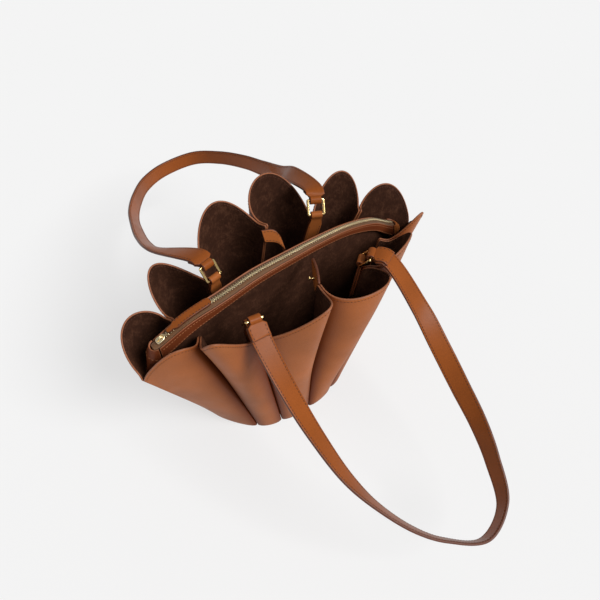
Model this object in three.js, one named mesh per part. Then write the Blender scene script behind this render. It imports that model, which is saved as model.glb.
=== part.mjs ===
// A mini tote of bridle leather: twelve fluted panels sewn edge to edge, a zipped suede pouch
// across the middle and two long straps on gold rings.
// Millimetres, +Z up, +X along the bag's width, +Y to its back; the origin is the middle of its base.
import * as THREE from 'three';

// Driving sizes
const RIM_HALF_WIDTH = 170;
const RIM_HALF_DEPTH = 50;
const RIM_HEIGHT = 210;
const BASE_HALF_WIDTH = 90;
const BASE_HALF_DEPTH = 57;
const BASE_THICKNESS = 2.4;
const LEATHER = 1.8;
const SEAM_GAP = 0.6;
const SEAT_GAP = 0.3;
const BASE_GAP = 0.8;
const JOINT_GAP = 0.8;

// Flutes: how deep the sewn edges turn in, how far the panels swell, how high the scallops stand
const FIN_DEPTH = 11;
const BASE_FIN_DEPTH = 5;
const SWELL = 60;
const BASE_SWELL = 6;
const SCALLOP = 35;
const FIN_LIFT = 10;
const BASE_SPREAD = 52 * Math.PI / 180;
const SCALLOP_POWER = 1.3;

// Straps, rings and the tabs that hold them
const STRAP_WIDTH = 19.5;
const STRAP_THICKNESS = 2.4;
const STRAP_SPREAD = 85;
const STRAP_REACH = 235;
const LOOP_HEIGHT = 90;
const FOLD_LENGTH = 17.5;
const FOLD_WIDTH = 18.4;
const TONGUE_WIDTH = 11.8;
const NECK_LENGTH = 2.8;
const RING_WIDTH = 18.4;
const RING_HEIGHT = 17;
const RING_BAR = 2.4;
const RING_THICKNESS = 2.2;
const RING_CORNER = 2;
const RING_RISE = 10;
const ANCHOR_LENGTH = 38;
const ANCHOR_WIDTH = 14;
const ANCHOR_THICKNESS = 1.6;

// Closure tabs and their stud
const TAB_THICKNESS = 2.4;
const TAB_HEIGHT = 15;
const FRONT_TAB_LENGTH = 32;
const FRONT_TAB_TURN = 60 * Math.PI / 180;
const FRONT_TAB_LEAN = 9 * Math.PI / 180;
const FRONT_TAB_RISE = 4;
const STUD_PLACE = 0.32;
const STUD_REACH = 6;
const STUD_HEAD = 2;
const STUD_NECK = 0.8;

// Middle pouch: a rounded zip header over two suede walls
const POUCH_HALF_LENGTH = 150;
const POUCH_HEIGHT = 210;
const POUCH_CENTRE = 2.5;
const POUCH_HALF_GAP = 3.2;
const POUCH_BOTTOM = 70;
const POUCH_WALL = 1.5;
const POUCH_SIDE_CLEARANCE = 9;
const HEADER_HALF_WIDTH = 5.2;
const HEADER_DROP = 1.2;
const FACING_DEPTH = 5;
const FACING_THICKNESS = 1.5;
const FACING_STAND = 0.5;
const FACING_FLARE = 2.4;
const FACING_BOW = 0.3;
const SHOULDER_DEPTH = 28;
const TAPE_THICKNESS = 0.8;
const TEETH_WIDTH = 4.4;
const TEETH_THICKNESS = 1.4;
const SLIDER_LENGTH = 9;
const SLIDER_WIDTH = 8;
const SLIDER_THICKNESS = 3.6;
const PULL_LENGTH = 46;
const PULL_WIDTH = 9;
const PULL_THICKNESS = 2.6;
const PULL_NECK = 5;
const PULL_START = 2;
const PULL_RISE = 3.9;
const NOSE_ROUND = 6;
const NOSE_LENGTH_LEFT = 5;
const NOSE_LENGTH_RIGHT = 14;
const NOSE_DROP = 20;
const NOSE_MERGE = 12;
const NOSE_CLEARANCE = 4;
const NOSE_GAP = 1.2;
const TAPE_END = 1.5;
const TAPE_END_SHARE = 0.5;

// Colours
const TAN = 0xa8643c;
const SUEDE = 0x3c2a21;
const GOLD = 0xe6c27a;
const TAPE_BROWN = 0x7a5236;

// The seven seams of each side, from the left side seam to the right one. x is a share of
// RIM_HALF_WIDTH, y of RIM_HALF_DEPTH, z of RIM_HEIGHT; turn is the way its edges point at the rim, in
// degrees from +X; lift is a share of FIN_LIFT; foot is the seam's x on the base, of BASE_HALF_WIDTH;
// open is how far its two panels spread where they leave the rim, in degrees.
const FRONT_SEAMS = [
  { x: -0.98, y: -0.13, z: 0.765, turn: 150, lift: 0, foot: -1 },
  { x: -0.65, y: -0.28, z: 0.87, turn: 57, lift: -1.2, foot: -0.68 },
  { x: -0.43, y: -1.02, z: 0.924, turn: 80, lift: 0.1, foot: -0.39, open: 58, openLeft: 75 },
  { x: 0.02, y: -0.85, z: 0.995, turn: 74, lift: 0, foot: 0, fin: 0.12 },
  { x: 0.37, y: -1.06, z: 0.972, turn: 126, lift: -0.6, foot: 0.39 },
  { x: 0.687, y: -0.44, z: 0.854, turn: 151, lift: 0.45, foot: 0.68 },
  { x: 1, y: -0.08, z: 0.777, turn: 72, lift: 0, foot: 1 },
];
const BACK_SEAMS = [
  { x: -0.98, y: -0.13, z: 0.765, turn: -78, lift: 0, foot: -1 },
  { x: -0.715, y: 0.53, z: 0.862, turn: -77, lift: 0.6, foot: -0.68 },
  { x: -0.42, y: 0.7, z: 0.917, turn: -80, lift: 0.2, foot: -0.39, open: 20 },
  { x: 0.006, y: 0.98, z: 1.018, turn: -77, lift: 0.4, foot: 0 },
  { x: 0.382, y: 0.83, z: 0.902, turn: -117, lift: 0.755, foot: 0.39, open: 12 },
  { x: 0.695, y: 0.535, z: 0.89, turn: -131, lift: 0.7, foot: 0.68 },
  { x: 1, y: -0.08, z: 0.777, turn: -111, lift: 0, foot: 1 },
];

// The six panels of each side: how far each swells as it leaves its left and right seam, as shares of
// SWELL, and how high its scalloped top stands, as a share of SCALLOP
const FRONT_PANELS = [
  { left: 0.23, right: 0.45, scallop: 0.72 },
  { left: 0.83, right: 0.73, scallop: 1.05 },
  { left: 1.03, right: 0.93, scallop: 0.92 },
  { left: 0.9, right: 0.78, scallop: 0.2 },
  { left: 0.45, right: 0.63, scallop: 0.7 },
  { left: 0.48, right: 0.57, scallop: 1.06 },
];
const BACK_PANELS = [
  { left: 1.05, right: 0.27, scallop: 0.48 },
  { left: 0.66, right: 0.95, scallop: 0.6 },
  { left: 0.98, right: 0.65, scallop: 0.88 },
  { left: 0.78, right: 1.23, scallop: 0.75 },
  { left: 0.63, right: 0.6, scallop: 0.92 },
  { left: 0.17, right: 0.45, scallop: 0.89 },
];

// Where each ring hangs: the seam that its tab is sewn on, how steeply it stands and how steeply the
// strap leaves it, both in degrees above the level, and how far the strap runs straight, as a share of
// FOLD_LENGTH
const RINGS = [
  { name: 'front_left', seams: FRONT_SEAMS, seam: 2, side: -1, steep: 60, leave: -32, straight: 1 },
  { name: 'front_right', seams: FRONT_SEAMS, seam: 4, side: -1, steep: 54, leave: 5, straight: 0.8 },
  { name: 'back_left', seams: BACK_SEAMS, seam: 2, side: 1, steep: 50, leave: 10, straight: 0.55 },
  { name: 'back_right', seams: BACK_SEAMS, seam: 4, side: 1, steep: 46, leave: 35, straight: 0.5 },
];

// Each strap's way from ring to ring: x is a share of STRAP_SPREAD, out of STRAP_REACH past the rim,
// up of the height from LOOP_HEIGHT to the rim; twist is how far the band has turned onto its edge
const FRONT_STRAP = [
  { x: -0.9, out: 0.25, up: 0.73, twist: 14 },
  { x: -0.89, out: 0.39, up: 0.58, twist: 24 },
  { x: -0.825, out: 0.56, up: 0.38, twist: 36 },
  { x: -0.71, out: 0.69, up: 0.25, twist: 50 },
  { x: -0.49, out: 0.83, up: 0.1, twist: 56 },
  { x: -0.23, out: 0.93, up: -0.01, twist: 62 },
  { x: 0.19, out: 1.02, up: -0.11, twist: 68 },
  { x: 0.6, out: 0.97, up: -0.07, twist: 76 },
  { x: 0.795, out: 0.82, up: 0.08, twist: 70 },
  { x: 0.88, out: 0.69, up: 0.22, twist: 59 },
  { x: 0.92, out: 0.54, up: 0.38, twist: 43 },
  { x: 0.94, out: 0.38, up: 0.58, twist: 24 },
  { x: 0.955, out: 0.24, up: 0.75, twist: 8 },
];
const BACK_STRAP = [
  { x: -1.05, out: 0.19, up: 0.83, twist: 28 },
  { x: -1, out: 0.34, up: 0.64, twist: 41 },
  { x: -0.86, out: 0.51, up: 0.46, twist: 53 },
  { x: -0.72, out: 0.64, up: 0.34, twist: 62 },
  { x: -0.48, out: 0.78, up: 0.22, twist: 70 },
  { x: -0.14, out: 0.91, up: 0.12, twist: 77 },
  { x: 0.25, out: 0.97, up: 0.08, twist: 81 },
  { x: 0.73, out: 0.94, up: 0.12, twist: 87 },
  { x: 1, out: 0.83, up: 0.19, twist: 91 },
  { x: 1.14, out: 0.66, up: 0.32, twist: 88 },
  { x: 1.15, out: 0.51, up: 0.45, twist: 80 },
  { x: 1.04, out: 0.335, up: 0.68, twist: 58 },
  { x: 0.92, out: 0.2, up: 0.92, twist: 32 },
];

// The back closure tab, which curls down into the bag: its way from the end of the middle seam in
// millimetres, and its width as a share of TAB_HEIGHT
const BACK_TAB = [
  { along: -8, in: 3, down: 9, share: 0.85 },
  { along: 0, in: 8.5, down: 9.5, share: 0.95 },
  { along: 3, in: 13, down: 13, share: 0.95 },
  { along: 3.5, in: 17, down: 20, share: 0.8 },
  { along: 3, in: 21, down: 28, share: 0.55 },
  { along: 2, in: 23, down: 36, share: 0.25 },
];

// The pouch from its left end to its right one at even steps: the zip's height as a share of
// POUCH_HEIGHT, the header's half width as a share of HEADER_HALF_WIDTH, and how far the facing hangs,
// as a share of FACING_DEPTH
const POUCH_LINE = [
  { height: 0.871, half: 0.84, facing: 2.6 },
  { height: 0.938, half: 0.93, facing: 2.2 },
  { height: 0.963, half: 1, facing: 1.6 },
  { height: 0.992, half: 0.97, facing: 1.4 },
  { height: 0.993, half: 0.82, facing: 1.4 },
  { height: 0.988, half: 0.68, facing: 1.4 },
  { height: 0.967, half: 0.62, facing: 1.5 },
  { height: 0.907, half: 0.68, facing: 1.9 },
  { height: 0.79, half: 0.84, facing: 2.6 },
];

const DEGREE = Math.PI / 180;
const UP = new THREE.Vector3(0, 0, 1);
const lerp = THREE.MathUtils.lerp;
const model = new THREE.Group();

// Materials and meshes

function leather(color, roughness) {
  return new THREE.MeshStandardMaterial({ color, roughness, metalness: 0 });
}

const tan = leather(TAN, 0.5);
const suede = leather(SUEDE, 0.95);
const tapeCloth = leather(TAPE_BROWN, 0.9);
const gold = new THREE.MeshStandardMaterial({ color: GOLD, roughness: 0.25, metalness: 1 });

function add(name, geometry, material) {
  const mesh = new THREE.Mesh(geometry, material);
  mesh.name = name;
  model.add(mesh);
  return mesh;
}

function signedVolume(points, faces) {
  let sum = 0;
  for (const [a, b, c] of faces) {
    sum += points[a].dot(new THREE.Vector3().crossVectors(points[b], points[c]));
  }
  return sum;
}

// A closed body from corner points and triangles, turned so that its faces point outward
function closedBody(points, faces) {
  const turned = signedVolume(points, faces) < 0 ? faces.map(([a, b, c]) => [a, c, b]) : faces;
  const geometry = new THREE.BufferGeometry();
  geometry.setAttribute('position', new THREE.Float32BufferAttribute(points.flatMap((p) => p.toArray()), 3));
  geometry.setIndex(turned.flat());
  geometry.computeVertexNormals();
  return geometry;
}

// A sheet with two skins: outer and inner are grids of points of the same size, rows by columns
function twoSkins(outer, inner) {
  const rows = outer.length;
  const columns = outer[0].length;
  const points = [...outer.flat(), ...inner.flat()];
  const at = (skin, row, column) => skin * rows * columns + row * columns + column;
  const faces = [];
  const quad = (a, b, c, d) => faces.push([a, b, c], [a, c, d]);
  for (let r = 0; r + 1 < rows; r++) {
    for (let c = 0; c + 1 < columns; c++) {
      quad(at(0, r, c), at(0, r, c + 1), at(0, r + 1, c + 1), at(0, r + 1, c));
      quad(at(1, r, c), at(1, r + 1, c), at(1, r + 1, c + 1), at(1, r, c + 1));
    }
    quad(at(0, r, 0), at(0, r + 1, 0), at(1, r + 1, 0), at(1, r, 0));
    quad(at(0, r + 1, columns - 1), at(0, r, columns - 1), at(1, r, columns - 1), at(1, r + 1, columns - 1));
  }
  for (let c = 0; c + 1 < columns; c++) {
    quad(at(0, 0, c + 1), at(0, 0, c), at(1, 0, c), at(1, 0, c + 1));
    quad(at(0, rows - 1, c), at(0, rows - 1, c + 1), at(1, rows - 1, c + 1), at(1, rows - 1, c));
  }
  return closedBody(points, faces);
}

// The sideways unit vectors of a plan polyline, lengthened at its corners so that a wall offset by
// them keeps its thickness
function mitres(path) {
  return path.map((point, i) => {
    const before = path[Math.max(i - 1, 0)];
    const after = path[Math.min(i + 1, path.length - 1)];
    const inward = new THREE.Vector2(point.x - before.x, point.y - before.y);
    const outward = new THREE.Vector2(after.x - point.x, after.y - point.y);
    if (i === 0) inward.copy(outward);
    if (i === path.length - 1) outward.copy(inward);
    inward.normalize();
    outward.normalize();
    const middle = inward.clone().add(outward).normalize();
    const stretch = 1 / Math.max(middle.dot(inward), 0.5);
    return new THREE.Vector3(middle.y * stretch, -middle.x * stretch, 0);
  });
}

// A sheet along a grid of middle points, each row a plan path, with its skins half a thickness away
function sheet(rows, thickness) {
  const offset = (row, distance) => {
    const sideways = mitres(row);
    return row.map((point, i) => point.clone().addScaledVector(sideways[i], distance));
  };
  const skin = (hand) => rows.map((row) => offset(row, hand * thickness / 2));
  return twoSkins(skin(1), skin(-1));
}

// A band along stations, each with a place, a direction across and a width; its skins lie half a
// thickness to each side of the way it runs
function band(stations, thickness) {
  const normals = stations.map(({ place, across }, i) => {
    const incoming = place.clone().sub(stations[Math.max(i - 1, 0)].place);
    const outgoing = stations[Math.min(i + 1, stations.length - 1)].place.clone().sub(place);
    if (i === 0) incoming.copy(outgoing);
    if (i === stations.length - 1) outgoing.copy(incoming);
    incoming.normalize();
    const ahead = outgoing.normalize().add(incoming).normalize();
    const stretch = 1 / Math.max(ahead.dot(incoming), 0.5);
    return new THREE.Vector3().crossVectors(ahead, across).normalize().multiplyScalar(stretch);
  });
  const corner = (i, hand, through) => stations[i].place.clone()
    .addScaledVector(stations[i].across, hand * stations[i].width / 2)
    .addScaledVector(normals[i], through * thickness / 2);
  const skin = (through) => stations.map((station, i) => [corner(i, -1, through), corner(i, 1, through)]);
  return twoSkins(skin(1), skin(-1));
}

// Smooth curve through evenly spaced values
function smoothValue(values, share) {
  const place = share * (values.length - 1);
  const i = Math.min(Math.floor(place), values.length - 2);
  const t = place - i;
  const valueAt = (k) => values[Math.min(Math.max(k, 0), values.length - 1)];
  const [a, b, c, d] = [i - 1, i, i + 1, i + 2].map(valueAt);
  return b + t * ((c - a) / 2 + t * (a - 2.5 * b + 2 * c - d / 2 + t * (1.5 * (b - c) + (d - a) / 2)));
}

// The fluted body

function planDirection(angle) {
  return new THREE.Vector3(Math.cos(angle), Math.sin(angle), 0);
}

// A seam at a height share: its root, the way its edges turn in, their depth and their lift
function seamAt(seam, side, share) {
  const footDepth = side * BASE_HALF_DEPTH * Math.sqrt(1 - seam.foot ** 2);
  const foot = new THREE.Vector3(seam.foot * BASE_HALF_WIDTH, footDepth, 0);
  const top = new THREE.Vector3(seam.x * RIM_HALF_WIDTH, seam.y * RIM_HALF_DEPTH, seam.z * RIM_HEIGHT);
  const footTurn = Math.atan2(-foot.y / BASE_HALF_DEPTH ** 2, -foot.x / BASE_HALF_WIDTH ** 2);
  let topTurn = seam.turn * DEGREE;
  while (topTurn - footTurn > Math.PI) topTurn -= 2 * Math.PI;
  while (topTurn - footTurn < -Math.PI) topTurn += 2 * Math.PI;
  const opens = [seam.openLeft ?? seam.open, seam.open];
  return {
    root: foot.lerp(top, share),
    inward: planDirection(lerp(footTurn, topTurn, share)),
    depth: lerp(BASE_FIN_DEPTH, FIN_DEPTH * (seam.fin ?? 1), share),
    lift: seam.lift * FIN_LIFT * share,
    spreads: opens.map((open = 0) => lerp(BASE_SPREAD, open * DEGREE, share)),
  };
}

function seamsOf(side) {
  return side < 0 ? FRONT_SEAMS : BACK_SEAMS;
}

function isSideSeam(index) {
  return index === 0 || index === FRONT_SEAMS.length - 1;
}

// How far a panel's end stays back from a side seam, so that the two walls meet without crossing
function sideSeamSetback(index, share) {
  const front = seamAt(FRONT_SEAMS[index], -1, share);
  const back = seamAt(BACK_SEAMS[index], 1, share);
  const hand = index === 0 ? 1 : -1;
  const spread = leaveDirection(front, hand).angleTo(leaveDirection(back, -hand));
  return (LEATHER / 2 + SEAM_GAP / 2) / Math.tan(Math.max(spread, 0.6) / 2) + SEAM_GAP / 2;
}

// The way a panel leaves its seam: straight out at the rim, spreading along the base at the bottom
function leaveDirection(seam, hand, isRight = false) {
  return seam.inward.clone().negate().applyAxisAngle(UP, hand * seam.spreads[isRight ? 1 : 0]);
}

// One panel's middle line at a height share, from the end of its left fin to the end of its right one
function panelLine(side, index, share, steps) {
  const seams = seamsOf(side);
  const panel = (side < 0 ? FRONT_PANELS : BACK_PANELS)[index];
  const left = seamAt(seams[index], side, share);
  const right = seamAt(seams[index + 1], side, share);
  const ends = [
    { seam: left, hand: side < 0 ? 1 : -1, swell: panel.left, plain: isSideSeam(index) },
    { seam: right, hand: side < 0 ? -1 : 1, swell: panel.right, plain: isSideSeam(index + 1) },
  ];
  for (const [k, end] of ends.entries()) {
    const { root, inward } = end.seam;
    end.leave = leaveDirection(end.seam, end.hand, k === 0);
    if (end.plain) {
      end.start = root.clone().addScaledVector(end.leave, sideSeamSetback(index + k, share));
    } else {
      const beside = new THREE.Vector3(-inward.y, inward.x, 0).multiplyScalar(-end.hand);
      end.start = root.clone().addScaledVector(beside, (LEATHER + SEAM_GAP) / 2);
    }
    end.handle = end.start.clone().addScaledVector(end.leave, lerp(BASE_SWELL, SWELL * end.swell, share));
  }
  const [a, b] = ends;
  const curve = new THREE.CubicBezierCurve3(a.start, a.handle, b.handle, b.start);
  const line = [];
  for (let i = 0; i <= steps; i++) {
    const point = curve.getPoint(i / steps);
    const arch = panel.scallop * SCALLOP * Math.max(Math.sin(Math.PI * i / steps), 0) ** SCALLOP_POWER;
    point.z = lerp(left.root.z, right.root.z, i / steps) + share * arch;
    line.push(point);
  }
  const finEnd = (end) => {
    const point = end.start.clone().addScaledVector(end.seam.inward, end.seam.depth);
    point.z += end.seam.lift;
    return point;
  };
  if (!a.plain) line.unshift(finEnd(a));
  if (!b.plain) line.push(finEnd(b));
  return line;
}

const PANEL_STEPS = 13;
const PANEL_ROWS = 6;
const SIDES = [{ name: 'front', side: -1 }, { name: 'back', side: 1 }];

for (const { name, side } of SIDES) {
  for (let index = 0; index < FRONT_PANELS.length; index++) {
    const rows = [];
    for (let row = 0; row <= PANEL_ROWS; row++) {
      rows.push(panelLine(side, index, row / PANEL_ROWS, PANEL_STEPS));
    }
    add(`petal_${name}_${index + 1}`, sheet(rows, LEATHER), tan);
  }
}

// The base panel fills the space inside the panels' feet and notches round their fins. Between them, its
// edge keeps one point in three
const BASE_EDGE_STEP = 3;

function baseEdge(side, index) {
  const share = BASE_THICKNESS / 2 / RIM_HEIGHT;
  const line = panelLine(side, index, share, PANEL_STEPS);
  const sideways = mitres(line);
  const inside = side * (LEATHER / 2 + BASE_GAP);
  const edge = line.map((point, i) => point.clone().addScaledVector(sideways[i], inside));
  for (const [k, end] of [[0, index], [edge.length - 1, index + 1]]) {
    if (isSideSeam(end)) edge[k].x *= 1 - (LEATHER + BASE_GAP) / BASE_HALF_WIDTH;
    else edge[k].addScaledVector(seamAt(seamsOf(side)[end], side, share).inward, BASE_GAP);
  }
  const fromEnd = (i) => Math.min(i, edge.length - 1 - i);
  return edge.filter((point, i) => fromEnd(i) < BASE_EDGE_STEP || i % BASE_EDGE_STEP === 0);
}

function basePanel() {
  const panels = [...FRONT_PANELS.keys()];
  const front = panels.flatMap((index) => baseEdge(-1, index));
  const back = panels.flatMap((index) => baseEdge(1, index)).reverse();
  const shape = new THREE.Shape([...front, ...back].map((point) => new THREE.Vector2(point.x, point.y)));
  return new THREE.ExtrudeGeometry(shape, { depth: BASE_THICKNESS, bevelEnabled: false });
}

add('base_panel', basePanel(), tan);

// The middle pouch. Its header is an arch of zip tape with a leather facing down each side, over two
// suede walls that draw together below and are sewn at the bottom.

function pouchLine(share) {
  const half = HEADER_HALF_WIDTH * smoothValue(POUCH_LINE.map((row) => row.half), share);
  const facing = smoothValue(POUCH_LINE.map((row) => row.facing), share);
  return {
    x: lerp(-POUCH_HALF_LENGTH, POUCH_HALF_LENGTH, share),
    top: POUCH_HEIGHT * smoothValue(POUCH_LINE.map((row) => row.height), share),
    half,
    edgeDrop: HEADER_DROP * half / HEADER_HALF_WIDTH,
    hang: FACING_DEPTH * facing,
    flare: FACING_FLARE * (facing - 1),
  };
}

// The pouch's walls and facings end where its rounded noses begin
const BODY_HALF_LENGTH = POUCH_HALF_LENGTH - NOSE_ROUND;

function bodyLine(share) {
  return pouchLine(0.5 + (share - 0.5) * BODY_HALF_LENGTH / POUCH_HALF_LENGTH);
}

// The half depth of the suede walls' middle at a drop below the zip
function wallHalfDepth(half, drop) {
  const wide = half - FACING_THICKNESS / 2 - POUCH_WALL / 2;
  const narrow = POUCH_HALF_GAP + POUCH_WALL / 2;
  return lerp(wide, narrow, THREE.MathUtils.smoothstep(drop, HEADER_DROP, SHOULDER_DEPTH));
}

// The side seams' distance from the middle at a height, and how far the walls may reach inside them
function seamReach(height) {
  const [left] = FRONT_SEAMS;
  return lerp(BASE_HALF_WIDTH, -left.x * RIM_HALF_WIDTH, Math.min(height / (left.z * RIM_HEIGHT), 1));
}

function wallReach(height) {
  return Math.min(BODY_HALF_LENGTH, seamReach(height) - POUCH_SIDE_CLEARANCE);
}

const POUCH_STEPS = 16;
const WALL_ROWS = 6;
const WALL_CROWDING = 1.6;

// A wall's rows crowd towards its top, and its last one is the seam at its foot
function pouchWall(side) {
  const rows = [];
  for (let row = 0; row <= WALL_ROWS; row++) {
    const line = [];
    for (let i = 0; i <= POUCH_STEPS; i++) {
      const { x, top, half, edgeDrop } = bodyLine(i / POUCH_STEPS);
      const start = top - edgeDrop - TAPE_THICKNESS - 2 * SEAT_GAP;
      const height = lerp(start, POUCH_BOTTOM, (row / WALL_ROWS) ** WALL_CROWDING);
      const depth = row === WALL_ROWS ? POUCH_WALL / 2 + SEAT_GAP : wallHalfDepth(half, top - height);
      const across = x * wallReach(height) / BODY_HALF_LENGTH;
      line.push(new THREE.Vector3(across, POUCH_CENTRE + side * depth, height));
    }
    rows.push(line);
  }
  return sheet(rows, POUCH_WALL);
}

// A facing bows out a little at its upper part and flares towards the pouch's ends
const FACING_ROWS = [0, 0.35, 1];

function pouchFacing(side) {
  const rows = FACING_ROWS.map((down) => {
    const line = [];
    for (let i = 0; i <= POUCH_STEPS; i++) {
      const { x, top, half, edgeDrop, hang, flare } = bodyLine(i / POUCH_STEPS);
      const bow = FACING_BOW * Math.sin(Math.PI * down) + flare * down;
      const depth = half + SEAT_GAP + FACING_THICKNESS / 2 + bow;
      const height = top - edgeDrop + FACING_STAND - down * hang;
      line.push(new THREE.Vector3(x, POUCH_CENTRE + side * depth, height));
    }
    return line;
  });
  return sheet(rows, FACING_THICKNESS);
}

// A strip along the zip line. Its section gives points across and the drops of its two faces
function headerStrip(section, from, to, steps) {
  const outer = [];
  const inner = [];
  for (let i = 0; i <= steps; i++) {
    const line = pouchLine(lerp(from, to, i / steps));
    const place = ([across, drop]) => new THREE.Vector3(line.x, POUCH_CENTRE + across, line.top - drop);
    const points = section(line, i === 0 || i === steps);
    outer.push(points.map(([across, upper]) => place([across, upper])));
    inner.push(points.map(([across, , lower]) => place([across, lower])));
  }
  return twoSkins(outer, inner);
}

// The tape arches between the facings and draws in at its ends
const TAPE_COLUMNS = [-1, -0.66, -0.33, 0, 0.33, 0.66, 1];

function tapeSection({ half, edgeDrop }, isEnd) {
  return TAPE_COLUMNS.map((share) => {
    const drop = edgeDrop * share ** 2;
    return [share * half * (isEnd ? TAPE_END_SHARE : 1), drop, drop + TAPE_THICKNESS];
  });
}

function raisedSection(width, thickness) {
  const base = -2 * SEAT_GAP;
  return () => [[-width / 2, base - thickness, base], [width / 2, base - thickness, base]];
}

const ZIP_END = 0.985;
const SLIDER_PLACE = 0.037;
const NOSE_TURNS = 8;
const NOSE_ROWS = 7;
const NOSE_BULGE_POWER = 0.7;

// A rounded leather nose closes each end of the pouch, from round the tape's end down to the walls' foot
function pouchNose(hand) {
  const { top, half, edgeDrop, hang, flare } = bodyLine(hand < 0 ? 0 : 1);
  const tapeEnd = pouchLine(hand < 0 ? 0 : 1).top;
  const length = hand < 0 ? NOSE_LENGTH_LEFT : NOSE_LENGTH_RIGHT;
  const rows = [];
  for (let row = 0; row <= NOSE_ROWS; row++) {
    const drop = lerp(edgeDrop - FACING_STAND, top - POUCH_BOTTOM, (row / NOSE_ROWS) ** 2);
    const flared = half + SEAT_GAP + FACING_THICKNESS / 2 + flare * Math.min(drop / hang, 1);
    const merge = THREE.MathUtils.smoothstep(drop, hang, hang + NOSE_MERGE);
    const depth = lerp(flared, wallHalfDepth(half, drop), merge);
    const foot = wallReach(top - drop) + NOSE_GAP;
    const bulge = length * (drop / NOSE_DROP) ** NOSE_BULGE_POWER;
    const tip = Math.min(POUCH_HALF_LENGTH + bulge, seamReach(top - drop) - NOSE_CLEARANCE);
    const line = [];
    for (let i = 0; i <= NOSE_TURNS; i++) {
      const angle = Math.PI * (i / NOSE_TURNS - 0.5);
      const out = Math.cos(angle);
      const fall = (top - tapeEnd) * out * Math.max(1 - drop / NOSE_DROP, 0);
      const across = hand * lerp(foot, tip, out);
      line.push(new THREE.Vector3(across, POUCH_CENTRE + depth * Math.sin(angle), top - drop - fall));
    }
    rows.push(line);
  }
  return sheet(rows, FACING_THICKNESS);
}

for (const { name, side } of SIDES) {
  add(`pouch_wall_${name}`, pouchWall(side), suede);
  add(`pouch_facing_${name}`, pouchFacing(side), tan);
}
add('pouch_nose_left', pouchNose(-1), tan);
add('pouch_nose_right', pouchNose(1), tan);
const pouchLength = 2 * POUCH_HALF_LENGTH;
const tapeEnd = TAPE_END / pouchLength;
add('zip_tape', headerStrip(tapeSection, tapeEnd, 1 - tapeEnd, 2 * POUCH_STEPS), tapeCloth);
const sliderEnd = SLIDER_PLACE + SLIDER_LENGTH / 2 / pouchLength;
add('zip_teeth', headerStrip(raisedSection(TEETH_WIDTH, TEETH_THICKNESS),
  sliderEnd + SEAT_GAP / pouchLength, ZIP_END, 2 * POUCH_STEPS), gold);
add('zip_slider', headerStrip(raisedSection(SLIDER_WIDTH, SLIDER_THICKNESS),
  sliderEnd - SLIDER_LENGTH / pouchLength, sliderEnd, 1), gold);

// The pull lies back along the zip, just above the teeth. Its shape gives how far along it each station is,
// and how far it has widened from its neck
const PULL_SHAPE = [
  { along: 0, wide: 0 },
  { along: 0.06, wide: 0 },
  { along: 0.16, wide: 0.8 },
  { along: 0.24, wide: 1 },
  { along: 0.4, wide: 1 },
  { along: 0.6, wide: 1 },
  { along: 0.8, wide: 1 },
  { along: 0.94, wide: 1 },
  { along: 1, wide: 0.35 },
];

function zipPull() {
  return band(PULL_SHAPE.map(({ along, wide }) => {
    const { x, top } = pouchLine(sliderEnd + (PULL_START + along * PULL_LENGTH) / pouchLength);
    const place = new THREE.Vector3(x, POUCH_CENTRE, top + PULL_RISE);
    return { place, across: new THREE.Vector3(0, 1, 0), width: lerp(PULL_NECK, PULL_WIDTH, wide) };
  }), PULL_THICKNESS);
}

add('zip_pull', zipPull(), tan);

// Rings on their tabs, and the straps

// A ring's frame: the fin's end it stands on, the middle of its lower bar, and its three directions
function ringFrame(ring) {
  const { root, inward, depth, lift } = seamAt(ring.seams[ring.seam], ring.side, 1);
  const finEnd = root.clone().addScaledVector(inward, depth).setZ(root.z + lift);
  const place = finEnd.clone().addScaledVector(inward, ANCHOR_THICKNESS + 2 * SEAT_GAP);
  place.z += RING_RISE;
  const across = new THREE.Vector3(inward.y, -inward.x, 0).multiplyScalar(-ring.side * Math.sign(root.x));
  const out = inward.clone().negate();
  const outAndUp = (angle) => out.clone().multiplyScalar(Math.cos(angle)).addScaledVector(UP, Math.sin(angle));
  const height = outAndUp(ring.steep * DEGREE);
  const away = outAndUp(ring.leave * DEGREE);
  return { finEnd, place, inward, across, height, away, straight: ring.straight * FOLD_LENGTH };
}

function roundedRectangle(width, height, corner) {
  const outline = new THREE.Shape();
  const x = width / 2;
  const y = height / 2;
  outline.moveTo(x, y - corner);
  for (const [cx, cy, start] of [[1, 1, 0], [-1, 1, 90], [-1, -1, 180], [1, -1, 270]]) {
    outline.absarc(cx * (x - corner), cy * (y - corner), corner, start * DEGREE, (start + 90) * DEGREE, false);
  }
  outline.closePath();
  return outline;
}

function ringBody(frame) {
  const outline = roundedRectangle(RING_WIDTH, RING_HEIGHT, RING_CORNER);
  outline.holes.push(roundedRectangle(RING_WIDTH - 2 * RING_BAR, RING_HEIGHT - 2 * RING_BAR, RING_CORNER / 4));
  const depth = RING_THICKNESS;
  const geometry = new THREE.ExtrudeGeometry(outline, { depth, bevelEnabled: false, curveSegments: 3 });
  geometry.translate(0, (RING_HEIGHT - RING_BAR) / 2, -RING_THICKNESS / 2);
  const facing = new THREE.Vector3().crossVectors(frame.across, frame.height);
  const basis = new THREE.Matrix4().makeBasis(frame.across, frame.height, facing);
  geometry.applyMatrix4(basis.setPosition(frame.place));
  return geometry;
}

// Turns round a ring's bar: points along and above, from one layer of a doubled band to the other
function turnRound(thickness, fromAngle, toAngle, turns) {
  const bend = (toAngle - fromAngle) / turns * DEGREE;
  const reach = (Math.hypot(RING_BAR, RING_THICKNESS) / 2 + SEAT_GAP + thickness / 2) / Math.cos(bend / 2);
  const points = [];
  for (let i = 0; i <= turns; i++) {
    const angle = lerp(fromAngle, toAngle, i / turns) * DEGREE;
    points.push([reach * Math.cos(angle), reach * Math.sin(angle)]);
  }
  return points;
}

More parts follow.
